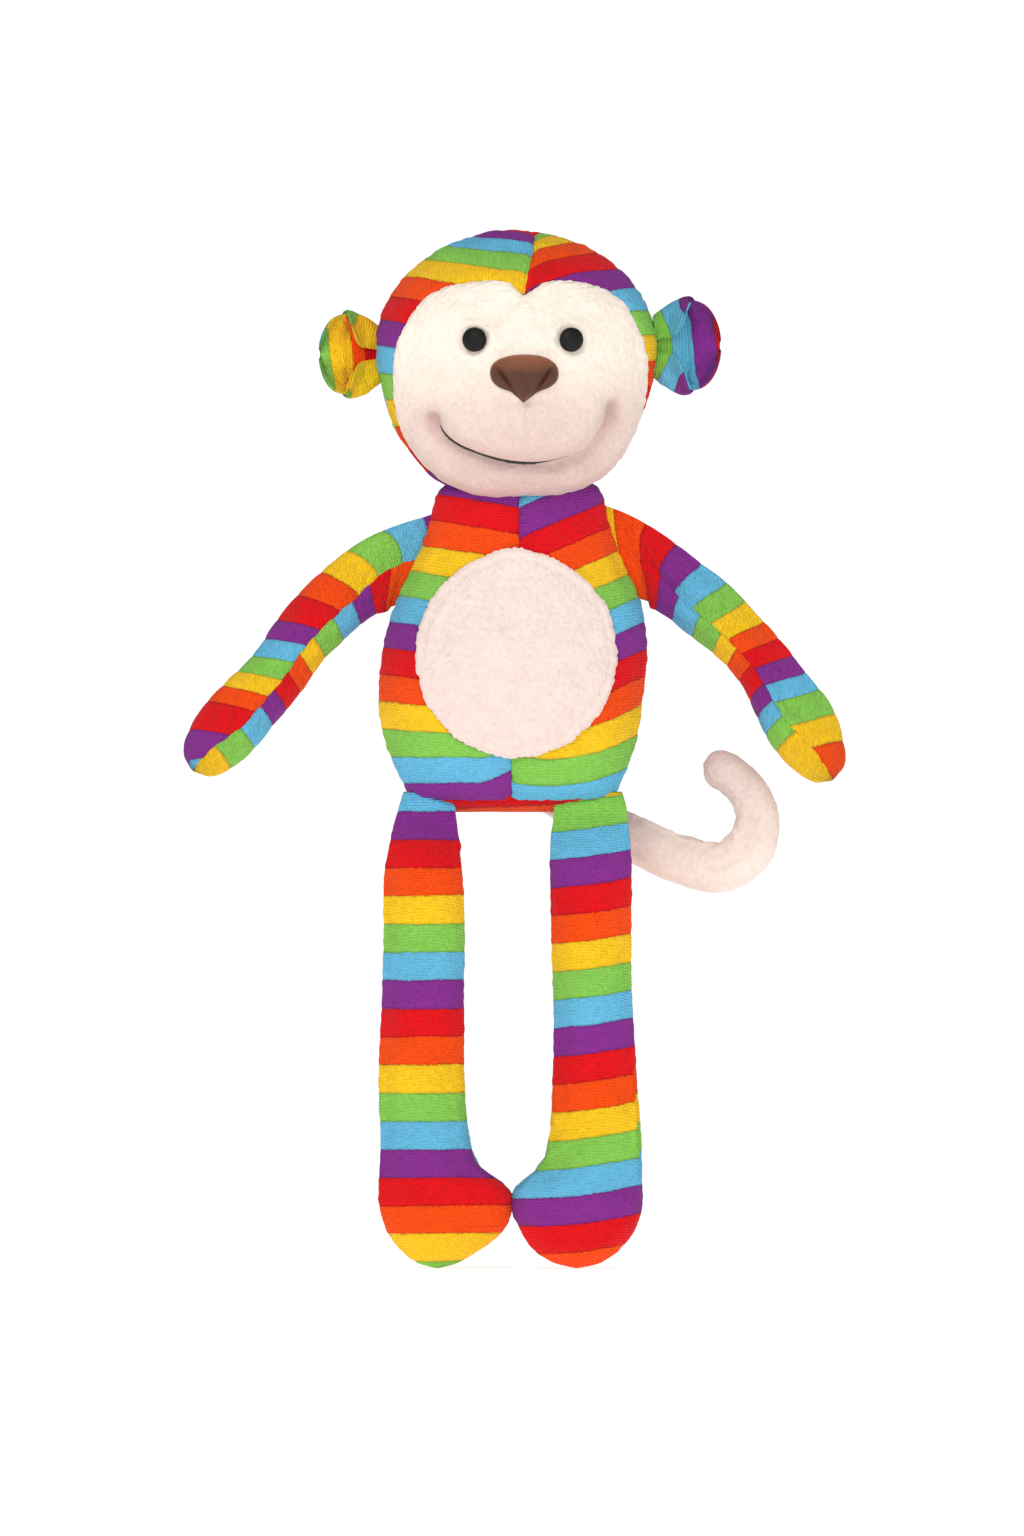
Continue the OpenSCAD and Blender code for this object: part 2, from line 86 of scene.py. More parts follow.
def curve(rows, at):
    """Smooth values between the rows of a table, whose first column is the position."""
    rows = np.array(rows, float)
    at = np.asarray(at, float)
    last = len(rows) - 1
    index = np.arange(last + 1)
    before, after = rows[np.maximum(index - 1, 0)], rows[np.minimum(index + 1, last)]
    slopes = (after - before) / (after - before)[:, :1]
    i = np.clip(np.searchsorted(rows[:, 0], at, side="right") - 1, 0, last - 1)
    a, b = rows[i], rows[i + 1]
    h = (b - a)[..., :1]
    u = (at[..., None] - a[..., :1]) / h
    return (
        a * (2 * u**3 - 3 * u**2 + 1)
        + slopes[i] * h * (u**3 - 2 * u**2 + u)
        + b * (3 * u**2 - 2 * u**3)
        + slopes[i + 1] * h * (u**3 - u**2)
    )


def ramp(low, high, value):
    """0 below low, 1 above high, and smooth between."""
    t = np.clip((value - low) / (high - low), 0, 1)
    return t * t * (3 - 2 * t)


def hill(distance, width):
    return np.exp(-((distance / width) ** 2))


def lumps(points, size, seed):
    """Smooth noise of about -1 to 1 over points, with lumps of about that size."""
    rng = np.random.default_rng(seed)
    total = 0
    for _ in range(10):
        direction = rng.normal(size=3)
        wave = direction / np.linalg.norm(direction) * 2 * math.pi / (size * rng.uniform(0.8, 1.8))
        total = total + np.sin(points @ wave + rng.uniform(0, 2 * math.pi))
    return total / 4


def sample(values, row, col):
    """Cubic values of a grid at fractional rows and columns; the columns go round in a circle."""

    def weights(t):
        return [
            -0.5 * t + t**2 - 0.5 * t**3,
            1 - 2.5 * t**2 + 1.5 * t**3,
            0.5 * t + 2 * t**2 - 1.5 * t**3,
            -0.5 * t**2 + 0.5 * t**3,
        ]

    row = np.clip(row, 0, values.shape[0] - 1)
    r0, c0 = np.floor(row).astype(int), np.floor(col).astype(int)
    total = 0
    for i, wr in enumerate(weights(row - r0)):
        rows = np.clip(r0 + i - 1, 0, values.shape[0] - 1)
        for j, wc in enumerate(weights(col - c0)):
            total = total + (wr * wc)[..., None] * values[rows, (c0 + j - 1) % values.shape[1]]
    return total


# ---- stuffed forms ----

# Body, bottom to top: level, middle of the width, half width, depth in front, depth behind
TORSO = [
    [0, -1.5, 31, 8, 12], [2, -1.5, 37, 14, 17], [5, -1.6, 41, 19, 21], [9, -1.7, 43.2, 22.5, 24.5],
    [14, -1.8, 45.2, 25.5, 27], [28, -2, 50.8, 31.5, 31.5], [46, -2, 54, 35, 33.5],
    [66, -0.4, 53.2, 35, 32.5], [83, 1, 50, 31.5, 28.5], [100, 1.2, 42.5, 27, 24.5],
    [112, 1.2, 38, 23.5, 22.5], [118, 1.2, 36.2, 22.5, 21.5], [124, 1.3, 34.8, 21, 20.5],
    [129, 1.4, 33, 19, 19], [136, 1.4, 25, 14, 14],
]


def base_seam(angle):
    """Level of the seam between the body and its base, which rises towards the sides."""
    return 3.4 + 1.6 * np.abs(np.cos(np.radians(angle))) ** 3


# Limbs: distance along, x, y, z of the middle, bearing of the line across, half width, half depth
ARM_RIGHT = [
    [0, -44.3, 0, 99.8, 72, 18.8, 1.5], [22, -62, 0, 91.6, 112, 14.3, 7.2],
    [42, -76.6, 0, 79.6, 130, 13.2, 12.2], [58, -87.6, 0, 67.6, 137, 12.5, 13],
    [70, -94.6, 0, 57.2, 138, 12.4, 12.8], [88, -106.4, 0, 43.4, 138, 13.2, 13.2],
    [100, -114.4, 0, 34.2, 140, 13.6, 13], [112, -122.4, 0, 25, 140, 11.8, 11],
    [120, -127.8, 0, 18.6, 140, 7, 6.5], [123, -129.6, 0, 16.4, 140, 0.4, 0.4],
]
ARM_LEFT = [
    [0, 46.8, 0, 102.6, 109, 19.6, 1.5], [22, 62.8, 0, 92.4, 67, 13.4, 8.6],
    [40, 77.2, 0, 80.8, 50, 12.2, 12.2], [58, 90.4, 0, 68.8, 43, 11.6, 12.6],
    [72, 99.4, 0, 58, 35, 12, 12.8], [90, 108.8, 0, 42.4, 31, 13.8, 13.2],
    [102, 115.4, 0, 32.2, 31, 14.2, 13], [114, 121.4, 0, 22, 31, 11.6, 11],
    [122, 125.6, 0, 15, 31, 6.8, 6.5], [125, 126.8, 0, 12.6, 31, 0.4, 0.4],
]
TAIL = [
    [0, 8, 31, 8.6, 72, 6.2, 1.5], [10, 17, 30.4, 4.4, 66, 7.4, 4.2], [26, 30, 28, -2.8, 66, 8.3, 7.8],
    [46, 46, 22.5, -10.4, 67, 8.6, 8.5], [68, 66, 17, -19.3, 75, 9.4, 9], [84, 82, 15, -22.3, 99, 10, 9.3],
    [97, 93, 14.5, -15, 143, 9.9, 9.2], [110, 96.6, 15, -3, 179, 8.9, 8.6],
    [121, 93.3, 15.5, 7.5, 211, 8.1, 8], [131, 86, 16, 14.8, 234, 8, 7.6], [138, 80, 16, 18, 248, 7.4, 7],
    [141.6, 76.8, 16, 19, 254, 5, 4.8], [143.5, 75, 16, 19.2, 258, 0.4, 0.4],
]

# Legs: distance below the hip seam, lowest and highest x, half depth
LEG_RIGHT = [
    [2, -47, -24, 1.5], [14, -50.6, -22.8, 6.8], [32, -52.6, -20.8, 12.6], [58, -52.2, -20.4, 14],
    [104, -54.2, -21, 14.2], [132, -54, -19, 14.6], [144, -54.8, -14.2, 15.4], [154, -55.4, -2.2, 16],
    [162, -54.8, -0.7, 16], [172, -51.6, -5.4, 14.6], [180, -45.5, -15, 10.6], [184.5, -39, -23.5, 5.4],
    [186.2, -31.9, -31.1, 0.4],
]
LEG_LEFT = [
    [2, 15, 44.4, 1.5], [14, 14, 45.4, 6.8], [32, 14, 46, 12.6], [58, 14.4, 45.6, 14],
    [104, 15.2, 47.8, 14.2], [132, 13.4, 49.8, 14.6], [144, 9.6, 50.4, 15.4], [154, -1.2, 50.9, 16],
    [162, -2.5, 51, 16], [172, 1.6, 47.4, 14.6], [180, 7.6, 40.6, 10.6], [184.5, 15.6, 33.2, 5.4],
    [186.2, 24, 24.8, 0.4],
]
HIP_Z = 4
LEG_Y = 21

# Head
HEAD_W = 113.2
CROWN_H = 47
JAW_H = 66
FACE_D = 46
NAPE_D = 42
HEAD_Z = 186
HEAD_Y = -4
HEAD_FLOOR = 125.5
MUZZLE = (3, 157)
MUZZLE_SPREAD = (24, 18)
MUZZLE_BULGE = 6

# Edge of the face: bearing round its middle, and the angle round the head at which the edge lies
FACE_EDGE = [
    [-45, 86], [-23, 80], [0, 69], [12, 63], [30, 58], [52, 45], [68, 36], [82, 25.5], [98, 33.5],
    [120, 39.6], [145, 50], [167, 54.6], [188, 63], [205, 71.5], [218, 76], [235, 77.5], [255, 76],
    [273, 72.4], [290, 78], [315, 86],
]
CAP_SEAM = 82


def torso_surface(level, angle):
    """The body, which is squarer towards its base."""
    s = curve(TORSO, level)
    c, n = np.cos(np.radians(angle)), np.sin(np.radians(angle))
    depth = np.where(n < 0, s[..., 3], s[..., 4])
    power = 2 + 1.3 * (1 - ramp(5, 30, level))
    reach = (np.abs(c) ** power + np.abs(n) ** power) ** (-1 / power)
    c, n = c * reach, n * reach
    return np.stack([s[..., 1] + s[..., 2] * c, depth * n, level + 0 * angle], -1)


def limb_surface(rows, root, skew=0):
    """A limb's surface. Before its start the limb runs on flat, by the step root for each millimetre. Skew
    moves the seam along the middle of its front, as a share of its half width."""

    def surface(along, angle):
        s = curve(rows, np.maximum(along, rows[0][0]))
        before = np.minimum(along - rows[0][0], 0)[..., None] * np.array(root, float)
        turn = np.radians(angle)
        in_front = np.sin(turn) ** 2 * (np.sin(turn) < 0)
        moved = skew * ramp(5, 30, along) * (1 - ramp(92, 118, along)) * in_front
        across = s[..., 5] * (np.cos(turn) + moved)
        bearing = np.radians(s[..., 4])
        point = [
            s[..., 1] + across * np.cos(bearing),
            s[..., 2] + s[..., 6] * np.sin(turn),
            s[..., 3] + across * np.sin(bearing),
        ]
        return np.stack(point, -1) + before

    return surface


def leg_surface(rows, root):
    """A leg's surface, which narrows and runs on by the step root above its start."""

    def surface(along, angle):
        s = curve(rows, np.maximum(along, rows[0][0]))
        above = np.minimum(along - rows[0][0], 0)
        before = above[..., None] * np.array(root, float)
        middle_x = (s[..., 1] + s[..., 2]) / 2 - 0.15 * above * np.sign(s[..., 1])
        wide = (s[..., 2] - s[..., 1]) / 2 + 0.4 * above
        turn = np.radians(angle)
        point = [
            middle_x + wide * np.cos(turn),
            s[..., 3] * np.sin(turn) - LEG_Y + 6 * (1 - ramp(0, 26, s[..., 0])),
            HIP_Z - s[..., 0],
        ]
        return np.stack(point, -1) + before

    return surface


def head_surface(around, bearing):
    """The head: angle round from the middle of the face, and bearing, 0 at its left and 90 at the crown."""
    out, turn = np.radians(around), np.radians(bearing)
    rise = np.where(np.sin(turn) > 0, CROWN_H, JAW_H)
    x = HEAD_W / 2 * np.sin(out) * np.cos(turn)
    z = HEAD_Z + rise * np.sin(out) * np.sin(turn)
    forward = np.cos(out)
    depth = np.where(forward > 0, FACE_D, NAPE_D)
    muzzle = hill(x - MUZZLE[0], MUZZLE_SPREAD[0]) * hill(z - MUZZLE[1], MUZZLE_SPREAD[1])
    y = HEAD_Y - depth * forward - MUZZLE_BULGE * muzzle * np.maximum(forward, 0)
    soft = 3
    floor = HEAD_FLOOR + soft * np.logaddexp(0, (z - HEAD_FLOOR) / soft)
    return np.stack([x, y, floor], -1)


def face_edge(bearing):
    turned = np.mod(bearing + 45, 360) - 45
    return curve(FACE_EDGE, turned)[..., 1]


def normals(points, closed=False):
    """Unit normals of a grid. A closed one is rings round a middle, whose last column meets its first."""
    across = np.gradient(points, axis=1)
    if closed:
        across[:, 0] = across[:, -1] = (points[:, 1] - points[:, -2]) / 2
    along = np.gradient(points, axis=0)
    n = np.cross(across, along)
    n = n / np.maximum(np.linalg.norm(n, axis=-1, keepdims=True), 1e-9)
    if closed:
        # The innermost rings are too small for normals of their own
        n[:6] = n[6].mean(0) / np.linalg.norm(n[6].mean(0))
    return n


def facing(n, axis):
    """Normals turned round, if need be, so that those of the grid's middle point down an axis."""
    rows, cols = n.shape[:2]
    return -n if n[rows // 2, cols // 2, axis] > 0 else n


def mesh_object(name, points, faces):
    mesh = bpy.data.meshes.new(name)
    mesh.from_pydata((np.asarray(points) * MM).tolist(), [], faces)
    mesh.shade_smooth()
    piece = bpy.data.objects.new(name, mesh)
    scene.collection.objects.link(piece)
    return piece


def ring_faces(rows, cols):
    """Quads of a tube of rings, with a fan to one more point at each end."""
    faces = []
    for i in range(rows - 1):
        for j in range(cols):
            k = (j + 1) % cols
            faces.append((i * cols + j, i * cols + k, (i + 1) * cols + k, (i + 1) * cols + j))
    first, last = rows * cols, (rows - 1) * cols
    for j in range(cols):
        k = (j + 1) % cols
        faces.append((first, k, j))
        faces.append((first + 1, last + j, last + k))
    return faces


def with_ends(rings):
    return np.concatenate([rings.reshape(-1, 3), [rings[0].mean(0)], [rings[-1].mean(0)]])


SIM_FRAMES = 20
SIM_PRESSURE = 10
SWELL = 1.2


def inflate(rings, held, most):
    """Stuffs a closed form of rings by cloth simulation. Gives how its points moved, at most that much."""
    rows, cols = rings.shape[:2]
    start = with_ends(rings)
    bag = mesh_object("bag", start, ring_faces(rows, cols))
    group = bag.vertex_groups.new(name="held")
    fixed = [int(i) for i in np.flatnonzero(held)] + [rows * cols, rows * cols + 1]
    group.add(fixed, 1.0, "REPLACE")
    cloth = bag.modifiers.new("cloth", "CLOTH")
    fabric = cloth.settings
    fabric.vertex_group_mass = "held"
    fabric.use_pressure = True
    fabric.uniform_pressure_force = SIM_PRESSURE
    fabric.effector_weights.gravity = 0
    fabric.mass = 0.01
    fabric.tension_stiffness = 5
    fabric.compression_stiffness = 5
    fabric.shear_stiffness = 2
    fabric.bending_stiffness = 0.5
    fabric.quality = 6
    cloth.collision_settings.use_collision = False
    cloth.collision_settings.use_self_collision = False
    for number in range(1, SIM_FRAMES + 1):
        scene.frame_set(number)
    shown = bag.evaluated_get(bpy.context.evaluated_depsgraph_get())
    found = np.zeros(len(start) * 3, np.float32)
    shown.data.vertices.foreach_get("co", found)
    scene.frame_set(1)
    bpy.data.objects.remove(bag)
    moved = (found.reshape(-1, 3) / MM - start)[: rows * cols].reshape(rows, cols, 3)
    size = np.linalg.norm(moved, axis=-1, keepdims=True)
    return moved * np.minimum(1, most / np.maximum(size, 1e-6))


class Form:
    """A stuffed form: a surface over a position along it and an angle round it, swollen by its stuffing."""

    def __init__(self, surface, start, end, step, seams, seed, loose=None, sides=36):
        self.surface, self.start, self.end, self.seed = surface, start, end, seed
        along = np.linspace(start, end, int(abs(end - start) / step) + 1)
        angle = np.arange(0, 360, 360 / sides)
        grid_along, grid_angle = np.meshgrid(along, angle, indexing="ij")
        rings = surface(grid_along, grid_angle)
        self.moved = np.zeros_like(rings)
        away = np.abs(np.mod(grid_angle[..., None] - np.array(seams) + 180, 360) - 180).min(-1)
        held = away < 180 / sides
        held[:2] = held[-2:] = True
        if loose is not None:
            held |= ~loose(grid_along, grid_angle)
        self.moved = inflate(rings, held, SWELL)

    def at(self, along, angle):
        rows, cols = self.moved.shape[:2]
        row = (along - self.start) / (self.end - self.start) * (rows - 1)
        return self.surface(along, angle) + sample(self.moved, row, np.mod(angle, 360) / 360 * cols)


# ---- sewn covers ----

# Thickness of the fabric, how far the covers stand from their form, and how deep their seams are
SKIN = 1.0
LIFT = -0.4
SEAM_DEPTH = 1.1


def lengths(points, axis):
    """Distance along a grid's rows or columns, in from both of its ends."""
    step = np.linalg.norm(np.diff(points, axis=axis), axis=-1)
    zero = np.zeros_like(np.take(step, [0], axis=axis))
    done = np.concatenate([zero, np.cumsum(step, axis=axis)], axis=axis)
    return done, np.take(done, [-1], axis=axis) - done


def sheet(name, outside, inside, weave, closed=False):
    """A closed sheet between two grids of points. Closed grids are rings round a middle, which is filled in.
    The weave is kept at each point: its place across and along the fabric, and its stripe number, which on
    the face is its painted shade instead."""
    if closed:
        outside, inside, weave = outside[:, :-1], inside[:, :-1], weave[:, :-1]
    rows, cols = outside.shape[:2]
    n = rows * cols
    index = np.arange(n).reshape(rows, cols)
    wide = np.concatenate([index, index[:, :1]], axis=1) if closed else index
    a, b, c, d = wide[:-1, :-1], wide[:-1, 1:], wide[1:, 1:], wide[1:, :-1]
    if closed:
        edge, following = wide[-1, 1:], wide[-1, :-1]
    else:
        edge = np.concatenate([index[0, :-1], index[:-1, -1], index[-1, :0:-1], index[:0:-1, 0]])
        following = np.roll(edge, -1)
    quads = [np.stack([a, b, c, d], -1).reshape(-1, 4), np.stack([d, c, b, a], -1).reshape(-1, 4) + n]
    quads.append(np.stack([following, edge, edge + n, following + n], -1))
    faces = np.concatenate(quads).tolist()
    points = [outside.reshape(-1, 3), inside.reshape(-1, 3)]
    woven = [weave.reshape(-1, 3)] * 2
    if closed:
        for j in range(cols):
            k = (j + 1) % cols
            faces.append((2 * n, k, j))
            faces.append((2 * n + 1, n + j, n + k))
        points.append([outside[0].mean(0), inside[0].mean(0)])
        woven.append([weave[0].mean(0)] * 2)
    piece = mesh_object(name, np.concatenate(points), faces)
    attribute = piece.data.attributes.new("weave", "FLOAT_VECTOR", "POINT")
    attribute.data.foreach_set("vector", np.concatenate(woven).astype(np.float32).reshape(-1))
    turn_out(piece)
    return piece


def seam_shape(distance, run, seed):
    """How a cover dips and puckers towards a seam, from the distance to it and the place along it."""
    rng = np.random.default_rng(seed)
    gather = 0
    for size in (4.3, 6.1, 9.7):
        gather = gather + np.sin(2 * math.pi * run / size + rng.uniform(0, 6) + 0.9 * np.sin(run / 11))
    dip = -SEAM_DEPTH * hill(distance, 1.5) - 0.5 * SEAM_DEPTH * np.exp(-distance / 4.5)
    return dip + 0.2 * gather * np.exp(-distance / 4.5)


def unevenness(points, form):
    """How the filling's lumps show through a form's covers."""
    return 0.4 * lumps(points, 24, form.seed) + 0.14 * lumps(points, 7, form.seed + 1)


def cover(
    name, form, along, angle, stripes, seams, seed, extra=None, room=1, closed=False, lift=LIFT, banded=True
):
    """One cover of a stuffed form over a grid of positions, raised from it by lift. Seams names its sewn
    edges, and room is less where the form is too thin for the seams' full depth."""
    points = form.at(along, angle)
    n = normals(points, closed)
    from_left, from_right = lengths(points, 1)
    from_start, from_end = lengths(points, 0)
    edges = {
        "left": (from_left, from_start), "right": (from_right, from_start),
        "start": (from_start, from_left), "end": (from_end, from_left),
    }
    # On the face, stripes is face_shade, so this keeps the pile's painted shade in place of a stripe number.
    stripe = stripes(points, along, angle) if stripes else 0 * along
    height = unevenness(points, form) + lift
    fade = 1
    for k, edge in enumerate(seams):
        distance, run = edges[edge]
        fade = fade * (1 - np.exp(-distance / 3))
        height = height + seam_shape(distance, run, seed + k)
    if stripes and banded:
        part = np.mod(stripe, 1)
        height = height + fade * 0.4 * (1 - np.abs(2 * part - 1) ** 5 - 0.6)
    height = height * room
    if extra is not None:
        height = height + extra(points)
    n = n * outward_sign(form, points, n)
    weave = np.stack([from_left, from_start, stripe], -1)
    outside = points + n * height[..., None]
    inside = outside - n * SKIN * (0.35 + 0.65 * np.asarray(room))[..., None]
    return sheet(name, outside, inside, weave, closed)


def outward_sign(form, points, n):
    """1 where a grid's normals point out of the form it covers, and -1 where they point in."""
    rows, cols = points.shape[:2]
    r, c = rows // 2, cols // 2
    span = np.linspace(form.start, form.end, 60)[:, None] + np.zeros((1, 24))
    around = np.arange(0, 360, 15)[None, :] + np.zeros((60, 1))
    rings = form.surface(span, around)
    nearest = rings.mean(1)[np.argmin(np.linalg.norm(rings - points[r, c], axis=-1).min(1))]
    if form is head:
        nearest = np.array([0, HEAD_Y, 165])
    return 1.0 if np.dot(points[r, c] - nearest, n[r, c]) > 0 else -1.0


def spaced(a, b, count):
    """Positions from a to b, closer together towards both."""
    t = np.linspace(0, 1, count)
    return a + (b - a) * (t + (0.5 - 0.5 * np.cos(math.pi * t)) * 1.2) / 2.2


def grid(along, angle):
    return np.meshgrid(np.asarray(along, float), np.asarray(angle, float), indexing="ij")


def stuffing(name, form, start, end, body, node, inset=4.2, floor=-math.inf):
    """The fibre filling inside a form, in lumps, that far in from its surface, and flat at its floor."""
    along, angle = grid(np.linspace(start, end, 44), np.arange(-9, 361, 9))
    rings = form.surface(along, angle)
    n = normals(rings)[:, 1:-1]
    rings = rings[:, 1:-1]
    axis = rings.mean(1, keepdims=True)
    out = rings - axis
    n = n * np.sign((n * out).sum(-1, keepdims=True).mean((0, 1)))
    thick = np.linalg.norm(out, axis=-1, keepdims=True)
    depth = inset - 0.6 * lumps(rings, 9, form.seed + 5)[..., None]
    sunk = rings - n * np.minimum(depth, 0.7 * thick)
    sunk[..., 2] = np.maximum(sunk[..., 2], floor)
    piece = mesh_object(name, with_ends(sunk), ring_faces(*rings.shape[:2]))
    turn_out(piece)
    piece.data.materials.append(fibre)
    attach(piece, body)
    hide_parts(node)


def turn_out(piece):
    """Makes a closed mesh's faces point outwards."""
    mesh = piece.data
    mesh.calc_loop_triangles()
    co = np.array([v.co for v in mesh.vertices])
    tri = np.array([t.vertices for t in mesh.loop_triangles])
    a, b, c = co[tri[:, 0]], co[tri[:, 1]], co[tri[:, 2]]
    if np.einsum("ij,ij->i", a, np.cross(b, c)).sum() < 0:
        mesh.flip_normals()


# ---- materials ----


def srgb(red, green, blue):
    """A colour as a shader's linear value."""
    parts = [c / 255 for c in (red, green, blue)]
    return [c / 12.92 if c <= 0.04045 else ((c + 0.055) / 1.055) ** 2.4 for c in parts] + [1]


class Nodes:
    """A material with its node tree, and short ways to add to it."""

    def __init__(self, name, **sockets):
        self.material = bpy.data.materials.new(name)
        self.material.use_nodes = True
        self.tree = self.material.node_tree
        self.shader = self.tree.nodes["Principled BSDF"]
        for socket, value in sockets.items():
            self.shader.inputs[socket.replace("_", " ")].default_value = value
        self.place = self.add("TexCoord").outputs["Object"]

    def add(self, kind, inputs=(), **settings):
        node = self.tree.nodes.new("ShaderNode" + kind)
        for key, value in settings.items():
            setattr(node, key, value)
        for socket, value in dict(inputs).items():
            self.give(node.inputs[socket], value)
        return node

    def give(self, socket, value):
        if isinstance(value, bpy.types.NodeSocket):
            self.tree.links.new(value, socket)
        else:
            socket.default_value = value

    def sum(self, operation, a, b=0.0, c=0.0):
        return self.add("Math", {0: a, 1: b, 2: c}, operation=operation).outputs[0]

    def axes(self, vector):
        return self.add("SeparateXYZ", {0: vector}).outputs

    def weave(self):
        """Place across the fabric, place along it, and stripe number, which on the face plush is its painted
        shade.
        """
        return self.axes(self.add("Attribute", attribute_name="weave").outputs["Vector"])

    def noise(self, scale, detail=2.0, rough=0.5, place=None):
        inputs = {"Vector": place or self.place, "Scale": scale, "Detail": detail, "Roughness": rough}
        return self.add("TexNoise", inputs).outputs["Fac"]

    def threads(self, scale, distortion):
        inputs = {"Vector": self.place, "Scale": scale, "Distortion": distortion}
        return self.add("TexWave", inputs, bands_direction="DIAGONAL").outputs["Fac"]

    def mix(self, factor, a, b, blend="MIX"):
        node = self.add("Mix", data_type="RGBA", blend_type=blend)
        self.give(node.inputs["Factor"], factor)
        self.give(node.inputs[6], a)
        self.give(node.inputs[7], b)
        return node.outputs[2]

    def paint(self, colour, shade=None):
        """Sets the base colour, darkened by a shade if there is one."""
        if shade is not None:
            grey = self.add("CombineColor", {0: shade, 1: shade, 2: shade}).outputs[0]
            colour = self.mix(1.0, colour, grey, "MULTIPLY")
        self.give(self.shader.inputs["Base Color"], colour)

    def bump(self, height, distance, strength=1.0):
        node = self.add("Bump", {"Height": height, "Distance": distance, "Strength": strength})
        self.give(self.shader.inputs["Normal"], node.outputs[0])


# The order in which the knitting machine fed its yarns
YARNS = [
    srgb(138, 46, 146), srgb(232, 12, 22), srgb(254, 78, 8), srgb(255, 204, 30),
    srgb(138, 206, 84), srgb(104, 190, 228),
]


def make_knit():
    """Striped terry knit: yarn colours by stripe number, ribs along it, and a short looped pile."""
    m = Nodes("striped_knit", Roughness=0.9, Sheen_Weight=0.05, Sheen_Roughness=0.5, Specular_IOR_Level=0.15)
    across, along, stripe = m.weave()
    jag = m.noise(900.0, 1.0)
    wander = m.noise(70.0, 1.0)
    uneven = m.sum("MULTIPLY_ADD", jag, 0.09, m.sum("MULTIPLY_ADD", wander, 0.10, -0.095))
    number = m.sum("ADD", stripe, uneven)
    colour = m.add("ValToRGB", {0: m.sum("WRAP", m.sum("DIVIDE", number, 6.0), 1.0, 0.0)})
    bands = colour.color_ramp
    bands.interpolation = "CONSTANT"
    bands.elements[0].position, bands.elements[0].color = 0, YARNS[0]
    bands.elements[1].position, bands.elements[1].color = 5 / 6, YARNS[5]
    for k in range(1, 5):
        bands.elements.new(k / 6).color = YARNS[k]
    part = m.sum("WRAP", number, 1.0, 0.0)
    near = m.sum("MINIMUM", part, m.sum("SUBTRACT", 1.0, part))
    line = m.add("MapRange", {0: near, 1: 0.015, 2: 0.06, 3: 0.72, 4: 1.0}).outputs[0]
    stretched = {0: m.sum("MULTIPLY", across, 0.45), 1: m.sum("MULTIPLY", along, 1.1)}
    loops = m.noise(1.0, 3.0, 0.65, place=m.add("CombineXYZ", stretched).outputs[0])
    pile = m.noise(900.0, 3.0, 0.7)
    patch = m.noise(55.0, 3.0, 0.6)
    wale = m.sum("SINE", m.sum("MULTIPLY", across, 2 * math.pi / 1.3))
    course = m.sum("SINE", m.sum("MULTIPLY", along, 2 * math.pi / 1.25))
    ribs = m.sum("MULTIPLY_ADD", wale, 0.35, course)
    shade = m.sum("MULTIPLY_ADD", pile, 0.34, m.sum("MULTIPLY_ADD", patch, 0.22, 0.50))
    shade = m.sum("MULTIPLY", m.sum("MULTIPLY_ADD", loops, 0.46, shade), line)
    shade = m.sum("MULTIPLY", shade, m.sum("MULTIPLY_ADD", ribs, 0.06, 1.0))
    m.paint(colour.outputs[0], shade)
    height = m.sum("MULTIPLY_ADD", loops, 1.1, m.sum("MULTIPLY", line, 0.9))
    height = m.sum("MULTIPLY_ADD", ribs, 0.18, height)
    m.bump(m.sum("MULTIPLY_ADD", pile, 0.5, height), 0.0009, 1.0)
    return m.material


def make_plush(name, light, deep, low, high, pile_scale=480.0):
    """Cream minky plush: a short soft pile that lies in swirls, painted pinker and greyer in its painted
    shade.
    Its colour goes from deep at the level low to light at the level high, which is painted shade as well."""
    m = Nodes(name, Roughness=0.95, Sheen_Weight=0.08, Sheen_Roughness=0.5, Specular_IOR_Level=0.1)
    # Painted shade: the colour fades from deep at the level low to light at the level high.
    fade = m.add("MapRange", {0: m.axes(m.place)[2], 1: low, 2: high, 3: 0.0, 4: 1.0}).outputs[0]
    swirl = m.add("TexNoise", {"Vector": m.place, "Scale": 60.0, "Detail": 2.0}).outputs["Color"]
    lean = m.add("VectorMath", {0: swirl, "Scale": 0.004}, operation="SCALE").outputs[0]
    bent = m.add("VectorMath", {0: m.place, 1: lean}, operation="ADD").outputs[0]
    pile = m.noise(pile_scale, 4.0, 0.65, place=bent)
    tufts = m.noise(pile_scale / 4, 2.0, place=bent)
    # The weave's third value is the painted shade that face_shade gives the face, and 0 on the other plush.
    painted_shade = m.weave()[2]
    shade = m.sum("MULTIPLY_ADD", pile, 0.30, m.sum("MULTIPLY_ADD", tufts, 0.16, 0.77))
    # Painted shade: the colour is mixed towards a pinkish grey by the painted shade.
    m.paint(m.mix(painted_shade, m.mix(fade, deep, light), srgb(206, 174, 168)), shade)
    m.bump(m.sum("MULTIPLY_ADD", tufts, 0.8, pile), 0.0009, 1.0)
    return m.material


def make_satin():
    """Brown satin, painted paler over the top of the nose as a painted highlight."""
    m = Nodes("nose_satin", Roughness=0.45, Sheen_Weight=0.08, Sheen_Roughness=0.3, Specular_IOR_Level=0.3)
    low, high = box("nose_cover")
    level = m.sum("SUBTRACT", m.axes(m.place)[2], 0.002)
    part = m.sum("MULTIPLY_ADD", m.noise(90.0), 0.004, level)
    # Painted highlight: the satin is painted paler from a little above the middle of the nose up to its top,
    # with a noisy edge.
    painted_highlight = {0: part, 1: (low[2] + 0.55 * (high[2] - low[2])) * MM, 2: (high[2] - 0.5) * MM}
    m.paint(m.mix(m.add("MapRange", painted_highlight).outputs[0], srgb(84, 46, 30), srgb(156, 94, 62)))
    m.bump(m.threads(900.0, 0.6), 0.00008, 0.5)
    return m.material


